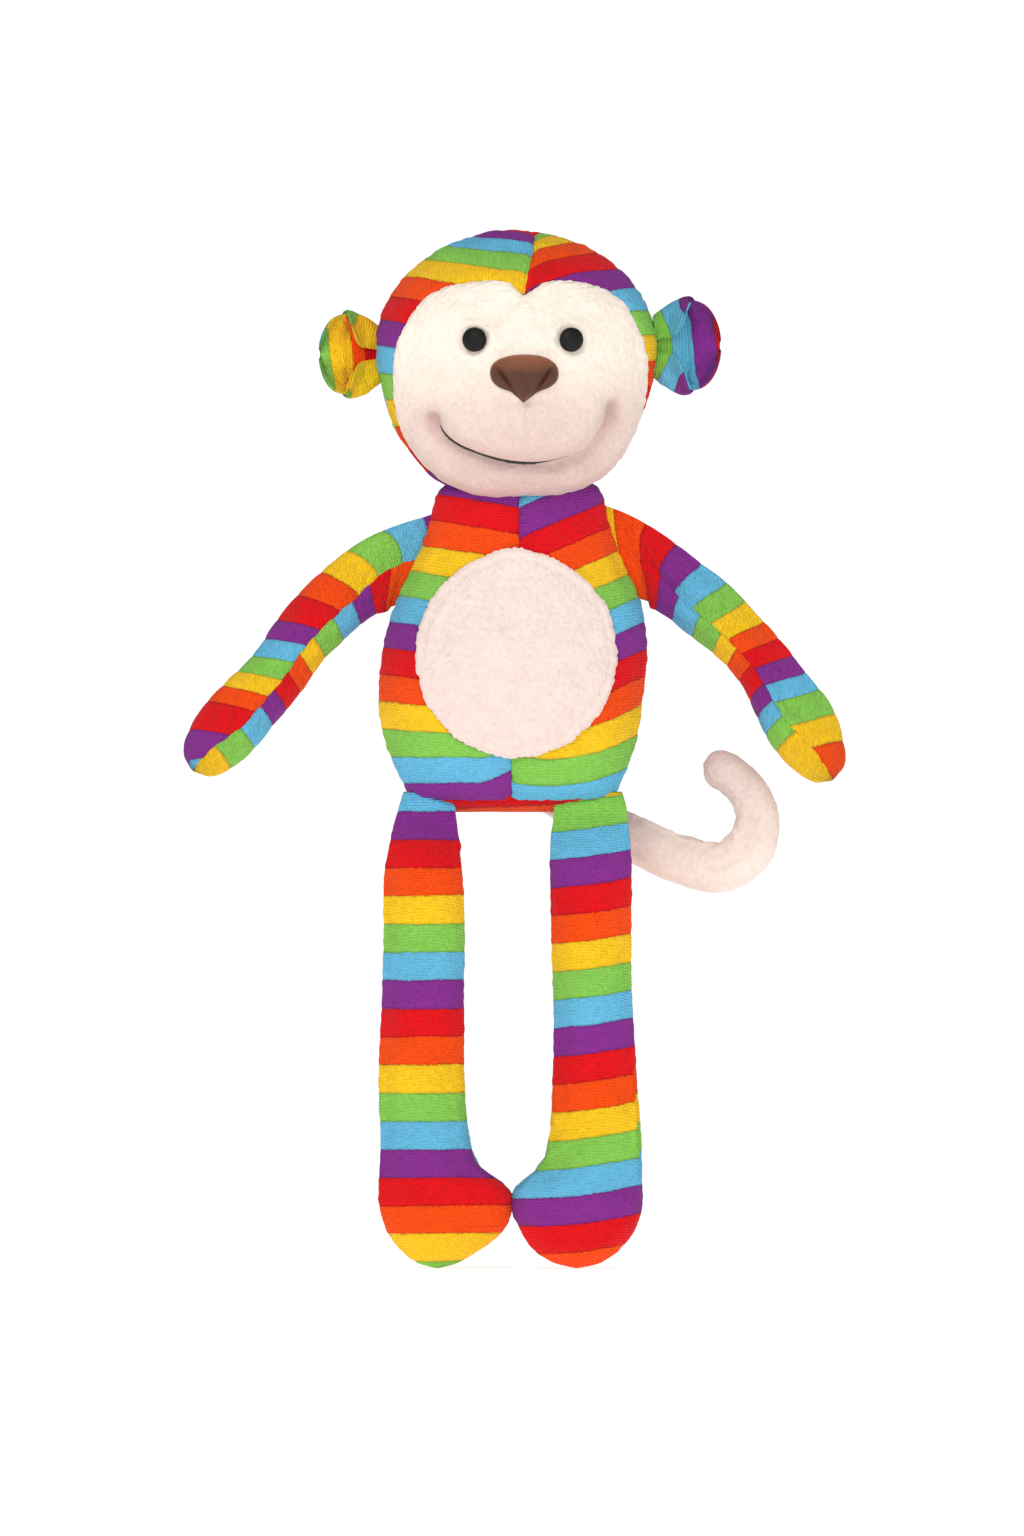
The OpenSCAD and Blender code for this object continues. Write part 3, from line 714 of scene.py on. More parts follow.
def make_plastic(name, colour, rough):
    m = Nodes(name, Roughness=rough, Specular_IOR_Level=0.25)
    grain = m.noise(1800.0)
    m.paint(m.mix(grain, colour, [c * 0.7 for c in colour[:3]] + [1]))
    m.give(m.shader.inputs["Roughness"], m.sum("MULTIPLY_ADD", grain, 0.12, rough - 0.06))
    m.bump(grain, 0.00004, 0.4)
    return m.material


def make_yarn(name, colour):
    m = Nodes(name, Roughness=0.7, Sheen_Weight=0.2)
    ply = m.threads(700.0, 1.5)
    m.paint(m.mix(ply, [c * 0.55 for c in colour[:3]] + [1], colour))
    m.bump(ply, 0.0002, 0.8)
    return m.material


def make_fibre():
    m = Nodes("polyester_fibre", Roughness=0.95, Sheen_Weight=0.5)
    strands = m.noise(700.0, 5.0, 0.8)
    m.paint(m.mix(strands, srgb(225, 225, 222), srgb(252, 252, 250)))
    m.bump(strands, 0.001, 1.0)
    return m.material


knit = make_knit()
# Painted shade: the face darkens towards its chin, the belly towards its bottom, and the tail towards its
# top.
face_plush = make_plush("face_plush", srgb(250, 236, 221), srgb(220, 190, 182), 0.125, 0.182)
belly_plush = make_plush("belly_plush", srgb(240, 220, 212), srgb(237, 215, 206), 0.02, 0.1, 520.0)
tail_plush = make_plush("tail_plush", srgb(224, 200, 194), srgb(246, 227, 216), -0.018, 0.016)
satin = make_satin()
eye_plastic = make_plastic("eye_plastic", srgb(10, 10, 9), 0.5)
washer_plastic = make_plastic("washer_plastic", srgb(238, 238, 234), 0.4)
black_yarn = make_yarn("black_thread", srgb(34, 32, 32))
white_yarn = make_yarn("white_thread", srgb(240, 238, 232))
fibre = make_fibre()


def dress(piece, material, node):
    """Gives a finished piece its material, and hides the CAD node that it stands for."""
    piece.data.materials.append(material)
    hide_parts(node)


# ---- the body ----

torso = Form(
    torso_surface, 0, 136, 5, (0, 90, 180, 270), 11,
    loose=lambda along, angle: (along > 11) & (along < 118),
)


def stripes_front_right(points, along, angle):
    """Nearly level, a little lower towards the middle, and gathered up at the bottom of the middle seam."""
    x, z = points[..., 0], points[..., 2]
    tilt = 0.16 * ramp(12, 60, z)
    lift = 5.6 * ramp(-16, 0, x) * (1 - ramp(12, 34, z))
    return (140.4 - z - tilt * (x + 46.4) + lift) / 10.77


def stripes_front_left(points, along, angle):
    """Rising towards the side, and bowed where the panel curves under."""
    x, z = points[..., 0], points[..., 2]
    high = 0.43 * (x - 33.6)
    low = 0.0075 * (x - 13) ** 2 - 3.2
    bowed = high + (low - high) * (1 - ramp(20, 62, z))
    number = (134.2 - z + bowed) / 11
    return np.where(number < 1, 1 + 0.87 * (number - 1), number)


def stripes_back_left(points, along, angle):
    return (137 - points[..., 2] + 0.1 * points[..., 0]) / 10.9


def stripes_back_right(points, along, angle):
    return (131 - points[..., 2] - 0.14 * points[..., 0]) / 10.9


GAP = -0.1
LIMB_GAP = -0.8
TORSO_PANELS = {
    "torso_front_left": (270, 360, stripes_front_left),
    "torso_front_right": (180, 270, stripes_front_right),
    "torso_back_left": (0, 90, stripes_back_left),
    "torso_back_right": (90, 180, stripes_back_right),
}


def add_torso():
    for k, (name, (start, end, stripes)) in enumerate(TORSO_PANELS.items()):
        part, angle = grid(spaced(0, 1, 165), spaced(start + GAP, end - GAP, 62))
        along = base_seam(angle) - 0.5 + (136 - base_seam(angle)) * part
        piece = cover(name + "_cover", torso, along, angle, stripes, ("left", "right", "start"), 20 + 7 * k)
        dress(piece, knit, name)
        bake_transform(piece)
    # The base: its underside from the middle out, and then its rim up to the seam
    out = np.linspace(0.02, 1, 26)
    angle = np.linspace(0, 360, 161)
    k, a = grid(out, angle)
    flat = torso.surface(0 * k, a)
    centre = np.array([-1.5, 2.5, 0.0])
    flat = centre + (flat - centre) * k[..., None]
    part, a = grid(np.linspace(0, 1, 14)[1:], angle)
    points = np.concatenate([flat, torso.surface((base_seam(a) + 0.3) * part, a)])
    n = facing(normals(points, closed=True), 2)
    from_start, from_end = lengths(points, 0)
    run = lengths(points, 1)[0]
    height = seam_shape(from_end, run, 91) + 0.15 * lumps(points, 18, 12)
    height = np.where(from_start < 26, np.minimum(height, 0), height)
    stripe = 1.99 + (2.2 - points[..., 2] + 0.03 * points[..., 0]) / 9
    weave = np.stack([run, from_start, stripe], -1)
    outside = points + n * height[..., None]
    piece = sheet("torso_base_cover", outside, outside - n * SKIN, weave, closed=True)
    dress(piece, knit, "torso_base")
    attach(piece, "torso")
    stuffing("torso_stuffing", torso, 3, 119, "torso", "torso_filling")


def front_at(x, z):
    """The front of the torso at a place seen from the front, as its cover shows it."""
    s = curve(TORSO, z)
    cosine = np.clip((x - s[..., 1]) / s[..., 2], -1, 1)
    angle = 360 - np.degrees(np.arccos(cosine))
    return torso.at(z, angle)


def add_belly():
    """The belly patch, appliqued over the middle seam, with a fringe of pile round its edge."""
    low, high = box("belly_patch")
    x0, z0 = (low[0] + high[0]) / 2, (low[2] + high[2]) / 2
    wide, tall = (high[0] - low[0]) / 2, (high[2] - low[2]) / 2
    bearing = np.linspace(0, 360, 421)
    reach = 1 - (1 - np.linspace(0.015, 1, 64)) ** 1.5
    k, b = grid(reach, bearing)
    turn = np.radians(b)
    ring = 40 * np.stack([np.cos(turn), 0 * turn, np.sin(turn)], -1)
    fringe = 0.35 * lumps(ring, 1.8, 31) + 0.35 * lumps(ring, 9, 32)
    point = 1.2 * hill(np.mod(b, 360) - 92, 16)
    x = x0 + k * (wide + fringe) * np.cos(turn)
    z = z0 + k * (tall + fringe + point) * np.sin(turn)
    base = front_at(x, z)
    n = facing(normals(base, closed=True), 1)
    from_edge = lengths(base, 0)[1]
    run = lengths(base, 1)[0]
    height = 0.5 + 1.1 * np.sqrt(np.clip(from_edge / 2.4, 0, 1)) - 0.4 * hill(from_edge - 4.2, 1.5)
    height = height + 0.25 * lumps(base, 16, 33) + 0.13 * lumps(base, 2.2, 34)
    outside = base + n * height[..., None]
    weave = np.stack([run, from_edge, 0 * k], -1)
    piece = sheet("belly_patch_cover", outside, base + n * 0.1, weave, closed=True)
    dress(piece, belly_plush, "belly_patch")
    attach(piece, "torso")


# ---- the arms, the legs and the tail ----


def knots(table):
    """A stripe number from a position along a limb, through a few knots."""
    at, number = np.array(table, float).T

    def value(position):
        inner = np.interp(position, at, number)
        before = (position - at[0]) * (number[1] - number[0]) / (at[1] - at[0]) + number[0]
        after = (position - at[-1]) * (number[-1] - number[-2]) / (at[-1] - at[-2]) + number[-1]
        return np.where(position < at[0], before, np.where(position > at[-1], after, inner))

    return value


def arm_stripes(table, first, lean):
    """Yarns run backwards along the arms, and a stripe leans as it goes round the arm."""
    value = knots(table)

    def stripes(points, along, angle):
        reach = np.abs(np.cos(np.radians(angle)))
        back = np.sin(np.radians(angle)) > 0
        across = np.where(back, 2 - reach, reach)
        return first - value(along - lean * (0.6 * across + 0.4 * across**2))

    return stripes


def leg_stripes(level, pitch, tilt, middle_x, bow=0.0):
    def stripes(points, along, angle):
        x = points[..., 0] - middle_x
        return (level - points[..., 2] + tilt * x + bow * (x / 16) ** 2) / pitch

    return stripes


def end_spaced(a, b, count):
    """Positions from a to b, closer together towards b."""
    t = np.linspace(0, 1, count)
    return a + (b - a) * (0.55 * t + 0.45 * np.sin(math.pi / 2 * t))


def add_limb(body, form, rows, covers, counts, room, filling_start, inset=4.2, lift=LIFT):
    """The covers of a limb and its filling. Counts are the points along and round a cover. Room is the
    column of the half depth in the limb's rows, the half depth that has room for a full seam, and the least
    and most room."""
    column, full, least, most = room
    for part, turn, stripes, seed in covers:
        along = end_spaced(form.start, form.end, counts[0])
        along, angle = grid(along, spaced(turn + LIMB_GAP, turn + 180 - LIMB_GAP, counts[1]))
        deep = curve(rows, np.maximum(along, rows[0][0]))[..., column]
        piece = cover(
            f"{body}_{part}_cover", form, along, angle, stripes, ("left", "right"), seed,
            room=most * np.clip(deep / full, least, 1), lift=lift,
        )
        fabric, slot = (knit, "striped_knit") if stripes else (tail_plush, "cream_plush")
        dress(piece, fabric, f"{body}_{part}")
        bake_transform(piece)
    stuffing(body + "_stuffing", form, filling_start, form.end - 4, body, body + "_filling", inset)


# Name, table, the step that the root runs on by, and the stripes of the upper and the lower cover
ARMS = (
    (
        "arm_right", ARM_RIGHT, (-0.95, 0, -0.3),
        arm_stripes([[13, 0], [48, 3], [89, 8], [117, 10]], 4, 9),
        arm_stripes([[18, 0], [52, 3], [86, 7], [110, 9]], 1, 2.5),
    ),
    (
        "arm_left", ARM_LEFT, (0.95, 0, -0.3),
        arm_stripes([[14, 0], [54, 4], [86, 8], [109, 10], [126, 10.95]], 1, 4.5),
        arm_stripes([[15, 0], [50, 3], [77, 6], [100, 9], [126, 9.95]], 1, 3),
    ),
)
# Name, table, and the stripes of the front and the back cover
LEGS = (
    ("leg_right", LEG_RIGHT, leg_stripes(0.4, 11.23, 0.01, -36), leg_stripes(-6.5, 11.2, 0.03, -36)),
    ("leg_left", LEG_LEFT, leg_stripes(-17.4, 11.23, 0.13, 29.6, 0.6), leg_stripes(-11, 11.2, -0.04, 29.6)),
)
# How far a limb runs on inside the body, before its start
ARM_BEFORE = 11
LEG_BEFORE = 7
TAIL_BEFORE = 10


def add_arms():
    for body, rows, root, upper, lower in ARMS:
        surface = limb_surface(rows, root, -0.3)
        form = Form(surface, -ARM_BEFORE, rows[-1][0], 3.5, (90, 270), 40 + len(body))
        covers = (("upper", -90, upper, 50), ("lower", 90, lower, 55))
        add_limb(body, form, rows, covers, (156, 40), (6, 9, 0.12, 0.8), 16)


def add_legs():
    for body, rows, front, back in LEGS:
        start = rows[0][0]
        surface = leg_surface(rows, (0, -0.55, -0.85))
        form = Form(surface, start - LEG_BEFORE, rows[-1][0], 4.5, (0, 180), 70 + len(body))
        covers = (("front", 180, front, 80), ("back", 0, back, 85))
        add_limb(body, form, rows, covers, (232, 44), (3, 9, 0.15, 0.6), start + 15)


def add_tail():
    form = Form(limb_surface(TAIL, (0.75, 0.8, -0.12)), -TAIL_BEFORE, TAIL[-1][0], 4, (0, 180), 95)
    covers = (("front", 180, None, 97), ("back", 0, None, 98))
    add_limb("tail", form, TAIL, covers, (150, 34), (6, 8, 0.1, 0.55), 12, inset=3.2, lift=0.9)


# ---- the head ----

head = Form(
    head_surface, 4, 176, 6, (CAP_SEAM, 270), 131,
    loose=lambda around, bearing: (np.abs(around - 90) > 4) & (np.abs(around - face_edge(bearing)) > 5),
)
SIDE_SEAM = 90


def head_arc(z):
    """Length of fabric up from the widest level of the head to a height."""
    up = np.clip((z - HEAD_Z) / CROWN_H, 0, 1)
    down = np.clip((z - HEAD_Z) / JAW_H, -1, 0)
    return CROWN_H * np.arcsin(up) + JAW_H * np.arcsin(down)


def stripes_cap_right(points, along, angle):
    x, z = points[..., 0], points[..., 2]
    return -(54.1 - 0.2 * x - head_arc(z)) / 10.8


def stripes_cap_left(points, along, angle):
    x, z = points[..., 0], points[..., 2]
    rise = 15.5 * (1 - np.exp(-np.maximum(x - 3, 0) / 20))
    return 1 - (21.5 + rise - head_arc(z)) / 10.4


def stripes_nape_left(points, along, angle):
    return -(50 + 0.12 * points[..., 0] - head_arc(points[..., 2])) / 10.6


def stripes_nape_right(points, along, angle):
    return -(44 - 0.1 * points[..., 0] - head_arc(points[..., 2])) / 10.6


# The smile, from the dimple on the monkey's right to the one on its left: x and z
SMILE = [
    [0, -33.6, 156.2], [1, -32, 151.5], [2, -25.9, 145.2], [3, -15.3, 140.2], [4, -3.3, 137.3],
    [5, 7.5, 136.5], [6, 18.5, 138.3], [7, 28.9, 142.9], [8, 35, 150.6], [9, 38.8, 157.7], [10, 39.2, 161.8],
]
SEWN_SMILE = (0.9, 6.3)


def smile_at(t):
    return curve(SMILE, t)[..., 1:]


def face_shape(points):
    """Hollows and rolls of the face: the smile's crease, the dimples, the nose's dart, the eyes' seats."""
    x, z = points[..., 0], points[..., 2]
    line = smile_at(np.linspace(0, 10, 121))
    to_line = np.stack([x, z], -1)[..., None, :] - line
    apart = np.linalg.norm(to_line, axis=-1)
    nearest = apart.argmin(-1)
    distance = apart.min(-1)
    t = nearest / 12
    inner = ramp(0, 3, t) * (1 - ramp(6, 9, t))
    strength = ramp(-1.5, 1.5, t) * (1 - ramp(8.6, 10.4, t)) * (0.65 + 0.35 * inner)
    crease = -3.4 * hill(distance, 2.0) - 1.8 * hill(distance, 5.5)
    run = np.gradient(line, axis=0)
    step = np.linalg.norm(run, axis=-1)
    upward = np.stack([-run[:, 1], run[:, 0]], -1) / step[:, None]
    lip = 0
    for side, wide, much in ((8.5, 6.5, 2.6), (-9.0, 5.5, 1.5)):
        roll = np.linalg.norm(np.stack([x, z], -1)[..., None, :] - line - side * upward, axis=-1)
        lip = lip + much * (hill(roll, wide) * step).sum(-1) / (wide * math.sqrt(math.pi))
    height = strength * crease + lip
    for place, deep in ((smile_at(np.array(0.1)), 3.0), (smile_at(np.array(9.8)), 2.6)):
        height = height - deep * hill(np.hypot(x - place[0], z - place[1]), 3.2)
    nose_low, nose_high = box("nose_cover")
    tip = nose_low[2]
    dart = hill(x - (MUZZLE[0] + 1.2 - 0.03 * (z - tip)), 0.7)
    height = height - 0.55 * dart * ramp(139, 142, z) * (1 - ramp(tip - 1, tip + 2, z))
    for name in ("eye_left", "eye_right"):
        eye = middle(name)
        r = np.hypot(x - eye[0], z - eye[2])
        height = height * ramp(4, 11, r) + 0.75 * hill(r - 7.2, 1.7) - 0.5 * hill(r, 4.5)
    nose = (nose_low + nose_high) / 2
    r = np.hypot((x - nose[0]) / 14.5, (z - nose[2]) / 9.8)
    return height * ramp(0.75, 1.15, r) - 0.6 * hill((r - 1.08) * 10, 1.6)


def face_shade(points, along, angle):
    """How far the pile lies in its own shade: round the muzzle, and most in the creases."""
    x, z = points[..., 0], points[..., 2]
    line = smile_at(np.linspace(0, 10, 61))
    apart = np.linalg.norm(np.stack([x, z], -1)[..., None, :] - line, axis=-1)
    t = apart.argmin(-1) / 6
    apart = apart.min(-1)
    crease = 0.5 * hill(apart, 2.6) + 0.3 * hill(apart, 6.0)
    crease = crease * (0.55 + 0.45 * (1 - ramp(0, 2, t) + ramp(7, 9, t)))
    muzzle = 0.4 * hill(x - MUZZLE[0], 34) * hill(z - MUZZLE[1] + 4, 17)
    chin = 0.42 * (1 - ramp(122, 144, z)) * (1 - 0.5 * ramp(-10, 25, x))
    sides = 0.0
    for place in (smile_at(np.array(0.0)), smile_at(np.array(9.0))):
        sides = sides + 0.3 * hill(np.hypot(x - place[0], z - place[1]), 4.5)
    return np.clip(crease + muzzle + chin + sides, 0, 0.95)


def face_lift(points):
    """The plush stands a little proud of the knit beside it, as its pile is longer."""
    return 0.5 + face_shape(points)


def add_head():
    # Face: rings out from its middle to its edge
    reach, bearing = grid(1 - (1 - np.linspace(0.012, 1, 122)) ** 1.15, np.linspace(-45, 315, 409))
    turn = np.radians(bearing)
    ring = 50 * np.stack([np.cos(turn), 0 * turn, np.sin(turn)], -1)
    fringe = 0.4 * lumps(ring, 1.7, 141) * ramp(0.97, 1, reach)
    around = reach * (face_edge(bearing) + 0.2 + fringe)
    # The face's weave holds the painted shade from face_shade, where the knit holds a stripe number.
    piece = cover(
        "face_cover", head, around, bearing, face_shade, ("end",), 140,
        extra=face_lift, closed=True, banded=False,
    )
    dress(piece, face_plush, "face_panel")
    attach(piece, "head")
    caps = {
        "cap_left": (-44, CAP_SEAM - GAP, stripes_cap_left),
        "cap_right": (CAP_SEAM + GAP, 314, stripes_cap_right),
    }
    for k, (name, (start, end, stripes)) in enumerate(caps.items()):
        bearing, part = grid(spaced(start, end, 210), np.linspace(0, 1, 40))
        edge = face_edge(bearing) + GAP
        piece = cover(
            name + "_cover", head, edge + (SIDE_SEAM - GAP - edge) * part, bearing, stripes,
            ("left", "right", "end" if name == "cap_left" else "start"), 150 + 9 * k,
        )
        dress(piece, knit, name)
        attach(piece, "head")
    napes = {
        "head_back_left": (-90, 90, stripes_nape_left),
        "head_back_right": (90, 270, stripes_nape_right),
    }
    for k, (name, (start, end, stripes)) in enumerate(napes.items()):
        around, bearing = grid(spaced(SIDE_SEAM + GAP, 179.9, 120), spaced(start + GAP, end - GAP, 110))
        seams = ("left", "right", "start")
        piece = cover(name + "_cover", head, around, bearing, stripes, seams, 170 + 9 * k)
        dress(piece, knit, name)
        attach(piece, "head")
    stuffing("head_stuffing", head, 12, 168, "head", "head_filling", inset=8.5, floor=144)


def front_of_head(x, z):
    """The front of the head at a place seen from the front, as the face's cover shows it."""

    def bare(x, z):
        rise = np.where(z > HEAD_Z, CROWN_H, JAW_H)
        u, v = 2 * x / HEAD_W, (z - HEAD_Z) / rise
        around = np.degrees(np.arcsin(np.clip(np.hypot(u, v), 0, 1)))
        return head.at(around, np.degrees(np.arctan2(v, u)))

    points = bare(x, z)
    n = np.cross(bare(x + 0.3, z) - bare(x - 0.3, z), bare(x, z + 0.3) - bare(x, z - 0.3))
    n = n / np.linalg.norm(n, axis=-1, keepdims=True)
    height = unevenness(points, head) + LIFT + face_lift(points)
    return points + n * height[..., None]


def nose_reach(turn, wide, up, down):
    """Outline of the nose: a soft pad with a lobe at each side, and a beak that points down between them."""
    s, c = np.sin(turn), np.cos(turn)
    high = np.where(s > 0, up, 0.62 * down)
    pad = (np.abs(c / wide) ** 2.3 + np.abs(s / high) ** 2.3) ** (-1 / 2.3)
    beak = np.where(s < 0, down / np.maximum(np.abs(s) + 0.85 * np.abs(c), 0.1), 0)
    return np.logaddexp(pad / 0.3, beak / 0.3) * 0.3


def add_nose():
    """Padded satin, folded so that a wedge stands forward between two side lobes."""
    low, high = box("nose_cover")
    x0, z0 = (low[0] + high[0]) / 2, low[2] + 0.58 * (high[2] - low[2]) - 0.6
    tip_z = low[2] - 1.8
    reach, bearing = grid(np.sin(np.linspace(0.015, 1, 60) * math.pi / 2), np.linspace(0, 360, 241))
    turn = np.radians(bearing)
    r = nose_reach(turn, (high[0] - low[0]) / 2 + 0.5, high[2] - z0 - 0.8, z0 - tip_z)
    x, z = reach * r * np.cos(turn), reach * r * np.sin(turn)
    base = front_of_head(x0 + x, z0 + z)
    tip = np.array([0.3, tip_z - z0])
    dome = 5.6 * (1 - 0.985 * reach**2.6) ** 0.5
    for side in (-1, 1):
        corner = np.array([side * 10.2, 2.6])
        along = (corner - tip) / np.linalg.norm(corner - tip)
        beside = side * ((x - tip[0]) * along[1] - (z - tip[1]) * along[0])
        outer = ramp(-0.5, 0.7, beside)
        on_line = 1 - ramp(2.5, 7.0, z)
        fold = -1.0 * outer - 2.2 * hill(beside - 0.8, 0.85)
        dome = dome + on_line * fold * np.sqrt(1.04 - reach**2)
    outside = base.copy()
    outside[..., 1] -= dome
    weave = np.stack([x, z, 0 * x], -1)
    piece = sheet("nose_satin_cover", outside, base + [0, 0.4, 0], weave, closed=True)
    dress(piece, satin, "nose_cover")
    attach(piece, "head")
    # The tuft of filling that pads it
    rings = np.stack([base - [0, 0.2, 0], base - np.stack([0 * dome, 0.4 * dome, 0 * dome], -1)])
    middle_ring = rings.mean(axis=(0, 1, 2))
    soft = np.concatenate([rings[0, ::6], rings[1, ::-6]])
    soft = middle_ring + (soft - middle_ring) * 0.8
    soft = soft[:, :-1]
    pad = mesh_object("nose_stuffing", with_ends(soft), ring_faces(*soft.shape[:2]))
    turn_out(pad)
    dress(pad, fibre, "nose_padding")
    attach(pad, "head")


def tube(points, radius, sides=8):
    """Rings of a round tube along a line of points, in a plane seen from the front."""
    along = np.gradient(points, axis=0)
    along /= np.linalg.norm(along, axis=1, keepdims=True)
    side = np.cross(along, [0, 1, 0])
    side /= np.linalg.norm(side, axis=1, keepdims=True)
    up = np.cross(side, along)
    turn = np.radians(np.arange(0, 360, 360 / sides))[None, :, None]
    radius = np.broadcast_to(radius, len(points))[:, None, None]
    return points[:, None] + radius * (np.cos(turn) * side[:, None] + np.sin(turn) * up[:, None])


def add_mouth():
    """The smile's stitches, one after another along the crease, thinner towards the monkey's left."""
    count = 46
    ends = np.linspace(*SEWN_SMILE, count + 1)
    points, faces = [], []
    rng = np.random.default_rng(7)
    for k in range(count):
        t = np.linspace(ends[k] - 0.06, ends[k + 1] + 0.06, 9)
        place = smile_at(t)
        place = place + rng.normal(0, 0.09, 2)
        line = front_of_head(place[:, 0], place[:, 1])
        thick = 1.15 * ramp(SEWN_SMILE[0] - 0.4, SEWN_SMILE[0] + 0.8, ends[k])
        thick = thick * (1 - 0.6 * ramp(4.2, 6.2, ends[k]))
        arch = np.sin(np.linspace(0, math.pi, 9))
        line[:, 1] -= 0.95 + 0.3 * arch
        rings = tube(line, thick * (0.5 + 0.5 * np.sqrt(arch)))
        done = len(points)
        points.extend(with_ends(rings).tolist())
        faces.extend(tuple(i + done for i in face) for face in ring_faces(*rings.shape[:2]))
    piece = mesh_object("mouth_stitches", points, faces)
    turn_out(piece)
    piece.data.materials.append(black_yarn)
    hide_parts("mouth_thread")
    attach(piece, "head")


def add_eyes():
    """The safety eyes and their washers are the CAD's own, as they are moulded parts."""
    for side in ("left", "right"):
        for node, material, slot in (
            ("eye_" + side, eye_plastic, "eye_plastic"),
            ("eye_washer_" + side, washer_plastic, "washer_plastic"),
        ):
            recolour(node, material)


def recolour(node, material):
    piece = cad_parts[node]
    piece.data.materials.clear()
    piece.data.materials.append(material)


# ---- the ears ----


def ear_points(side, u, v, middle_z, half, root_x, tip_x):
    """The middle of an ear's padding: a round leaf, whose upper and lower edges fold forward to its root."""
    widest = 0.52
    reach = np.linspace(0, 1, 97)
    points = np.zeros(u.shape + (3,))
    for i, part in enumerate(u[:, 0]):
        tall = 0.6 + 0.4 * math.sin(math.pi / 2 * min(part / widest, 1))
        if part > widest:
            tall = math.sqrt(max(1 - ((part - widest) / (1 - widest)) ** 2.4, 0))
        turned = np.radians(30 + 162 * (1 - ramp(0.22, 0.74, part)))
        bend = turned * ramp(0.34, 0.78, reach)
        up = np.concatenate([[0], np.cumsum(np.cos(bend[1:]))]) / 96
        forward = np.concatenate([[0], np.cumsum(np.sin(bend[1:]))]) / 96
        size = half * tall / up.max()
        place = np.abs(v[i])
        points[i, :, 0] = root_x + (tip_x - root_x) * part
        points[i, :, 1] = HEAD_Y + 3.5 - size * np.interp(place, reach, forward) - 2.5 * part**2
        points[i, :, 2] = middle_z + size * np.interp(place, reach, up) * np.sign(v[i])
    return points


# For the front and the back of each ear: stripe numbers at distances in from its tip, and how they lean and
# how they change with the height from its middle
EAR_STRIPES = {
    "ear_right": (
        ([0, 3.8, 13, 18.2, 26], [4.75, 4, 3, 2, 1], 0.12, 0.0),
        ([0, 6, 22, 30], [4.9, 4, 3, 2], -0.1, 0.03),
    ),
    "ear_left": (
        ([0, 1.2, 10.5, 19, 28], [1.15, 1, 0, -1, -2], -0.1, 0.0),
        ([0, 9, 17, 26], [0.9, 0, -1, -2], 0.05, 0.055),
    ),
}


def add_ear(name, side):
    low, high = box(name + "_front")
    root_x = (low[0] if side > 0 else high[0]) - side * 2.5
    tip_x = high[0] if side > 0 else low[0]
    middle_z, half = (low[2] + high[2]) / 2, (high[2] - low[2]) / 2
    u, v = grid(1 - (1 - np.linspace(0, 0.96, 70)) ** 1.6, np.linspace(-1, 1, 130))
    points = ear_points(side, u, v, middle_z, half, root_x, tip_x)
    n = facing(normals(points), 1)
    rim = np.sqrt(np.clip(1 - np.abs(v) ** 6, 0, 1)) * np.sqrt(np.clip(1 - u**6, 0, 1))
    thick = 0.3 + 1.5 * rim
    from_root = lengths(points, 0)[0]
    to_tip = (tip_x - points[..., 0]) * side
    run = lengths(points, 1)[0]
    pull = np.sin(v * 21 + 2.2 * np.sin(v * 6)) * hill(u, 0.45)
    wrinkle = 0.2 * lumps(points, 5, 210 + side) + 0.3 * lumps(points, 11, 213 + side) + 0.35 * pull
    for k, (part, out) in enumerate((("front", 1), ("back", -1))):
        surface = points + n * (out * (thick + rim * wrinkle))[..., None]
        under = points + n * (out * 0.15)
        at, numbers, lean, spread = EAR_STRIPES[name][k]
        tall = points[..., 2] - middle_z
        stripe = np.interp(to_tip + lean * tall, at, numbers) + spread * np.abs(tall)
        weave = np.stack([run, from_root, stripe], -1)
        piece = sheet(f"{name}_{part}_cover", surface, under, weave)
        dress(piece, knit, f"{name}_{part}")
        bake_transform(piece)
    # Wadding between the covers
    keep = (slice(10, 62, 2), slice(8, 122, 3))
    near = (points + n * 0.1)[keep]
    far = (points - n * 0.1)[keep]
    pad = sheet(name + "_wadding_layer", near, far, np.zeros_like(near))
    dress(pad, fibre, name + "_wadding")
    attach(pad, name)


# ---- the scene ----


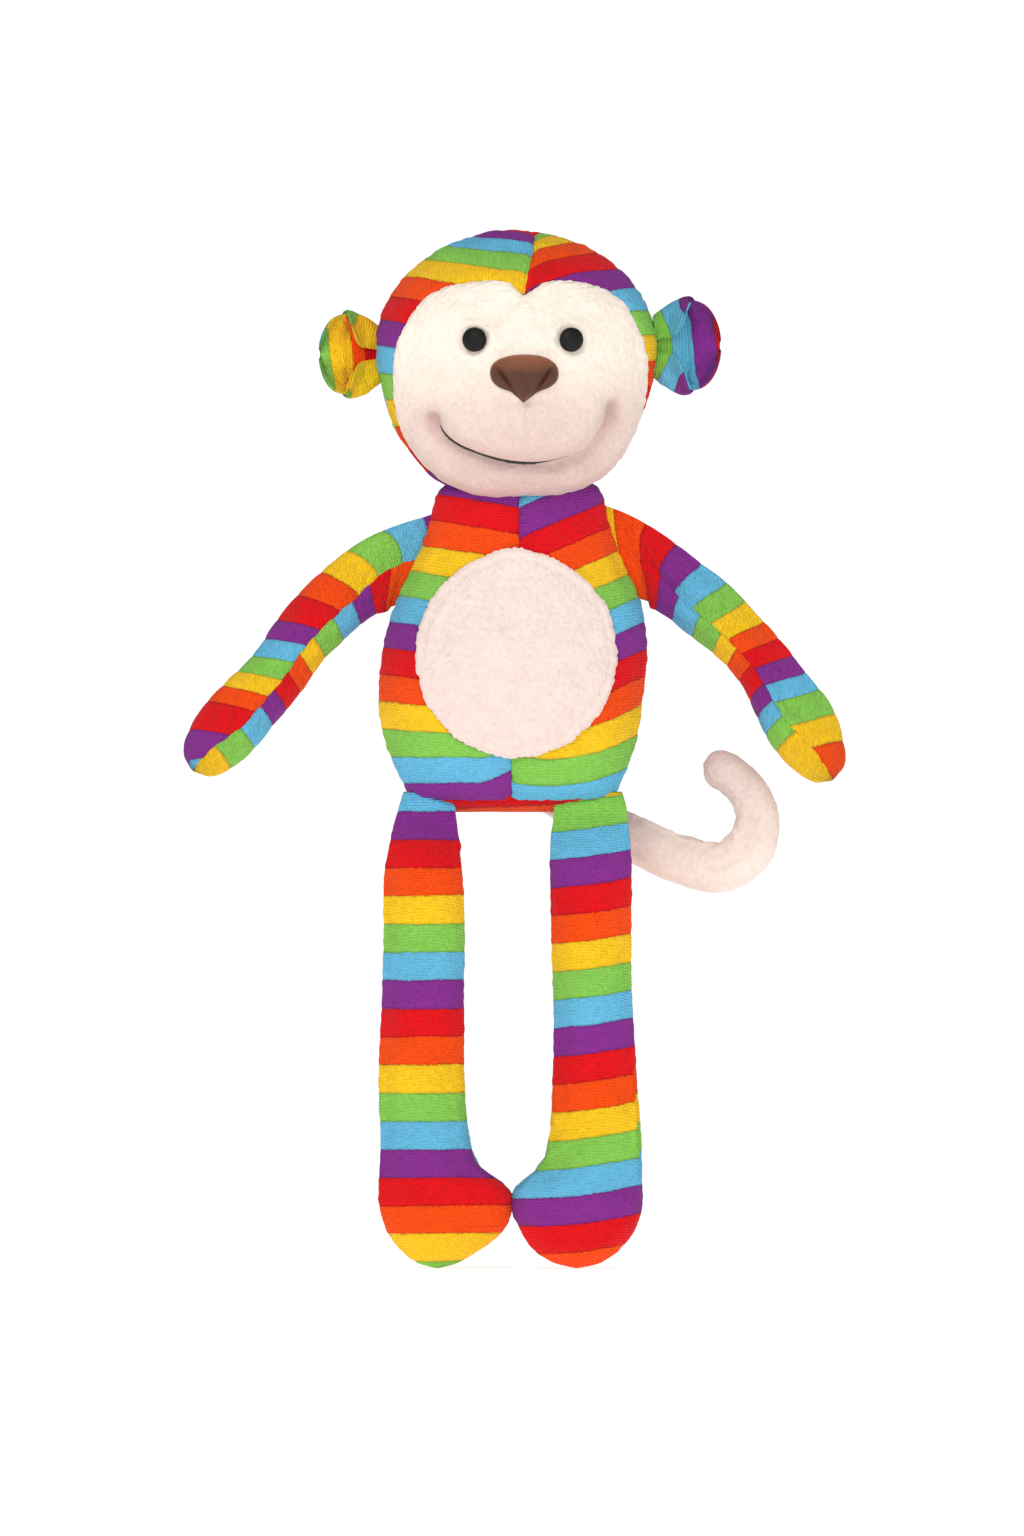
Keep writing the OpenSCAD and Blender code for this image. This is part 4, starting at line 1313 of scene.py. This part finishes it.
def add_camera():
    """A long lens level with the middle of the toy, straight in front of it."""
    lens, sensor, height_shown = 500, 36, 0.6144
    data = bpy.data.cameras.new("camera")
    data.lens = lens
    data.clip_end = 100
    camera = bpy.data.objects.new("camera", data)
    camera.location = (-0.0016, -height_shown / sensor * lens, 0.0176)
    camera.rotation_euler = (math.pi / 2, 0, 0)
    scene.collection.objects.link(camera)
    scene.camera = camera


def add_light(name, place, aim, size, power):
    data = bpy.data.lights.new(name, "AREA")
    data.size = size
    data.energy = power
    light = bpy.data.objects.new(name, data)
    light.location = place
    direction = np.array(aim, float) - np.array(place, float)
    light.rotation_euler = Vector(direction).to_track_quat("-Z", "Y").to_euler()
    scene.collection.objects.link(light)


def add_studio():
    """A pale floor, a sky that is white round its horizon, a large soft key light and an even fill."""
    reach, floor_z = 30000, cad_box[0][2] / MM
    corners = ((-reach, -reach), (reach, -reach), (reach, reach), (-reach, reach))
    floor = mesh_object("floor", [(x, y, floor_z) for x, y in corners], [(0, 1, 2, 3)])
    paper = Nodes("paper", Roughness=0.9)
    paper.paint(paper.mix(paper.noise(40.0), (0.93, 0.93, 0.93, 1), (0.96, 0.96, 0.96, 1)))
    paper.shader.inputs["Emission Color"].default_value = (1, 1, 1, 1)
    paper.shader.inputs["Emission Strength"].default_value = 0.6
    floor.data.materials.append(paper.material)
    world = bpy.data.worlds.new("world")
    world.use_nodes = True
    sky = world.node_tree
    place = sky.nodes.new("ShaderNodeTexCoord")
    axes = sky.nodes.new("ShaderNodeSeparateXYZ")
    level = sky.nodes.new("ShaderNodeMapRange")
    sky.links.new(place.outputs["Generated"], axes.inputs[0])
    sky.links.new(axes.outputs[2], level.inputs[0])
    for k, value in enumerate((0.06, 0.2, 1.05, 0.42)):
        level.inputs[k + 1].default_value = value
    background = sky.nodes["Background"]
    background.inputs[0].default_value = (1, 1, 1, 1)
    sky.links.new(level.outputs[0], background.inputs[1])
    scene.world = world
    add_light("key", (-0.5, -1.7, 1.5), (0, 0, 0), 1.0, 18)
    add_light("fill", (0.9, -1.9, 0.3), (0, 0, 0), 1.2, 6)
    scene.view_settings.view_transform = "Standard"


add_camera()
add_studio()
add_torso()
add_belly()
add_arms()
add_legs()
add_tail()
add_head()
add_nose()
add_mouth()
add_eyes()
recolour("neck_thread", white_yarn)
add_ear("ear_left", 1)
add_ear("ear_right", -1)
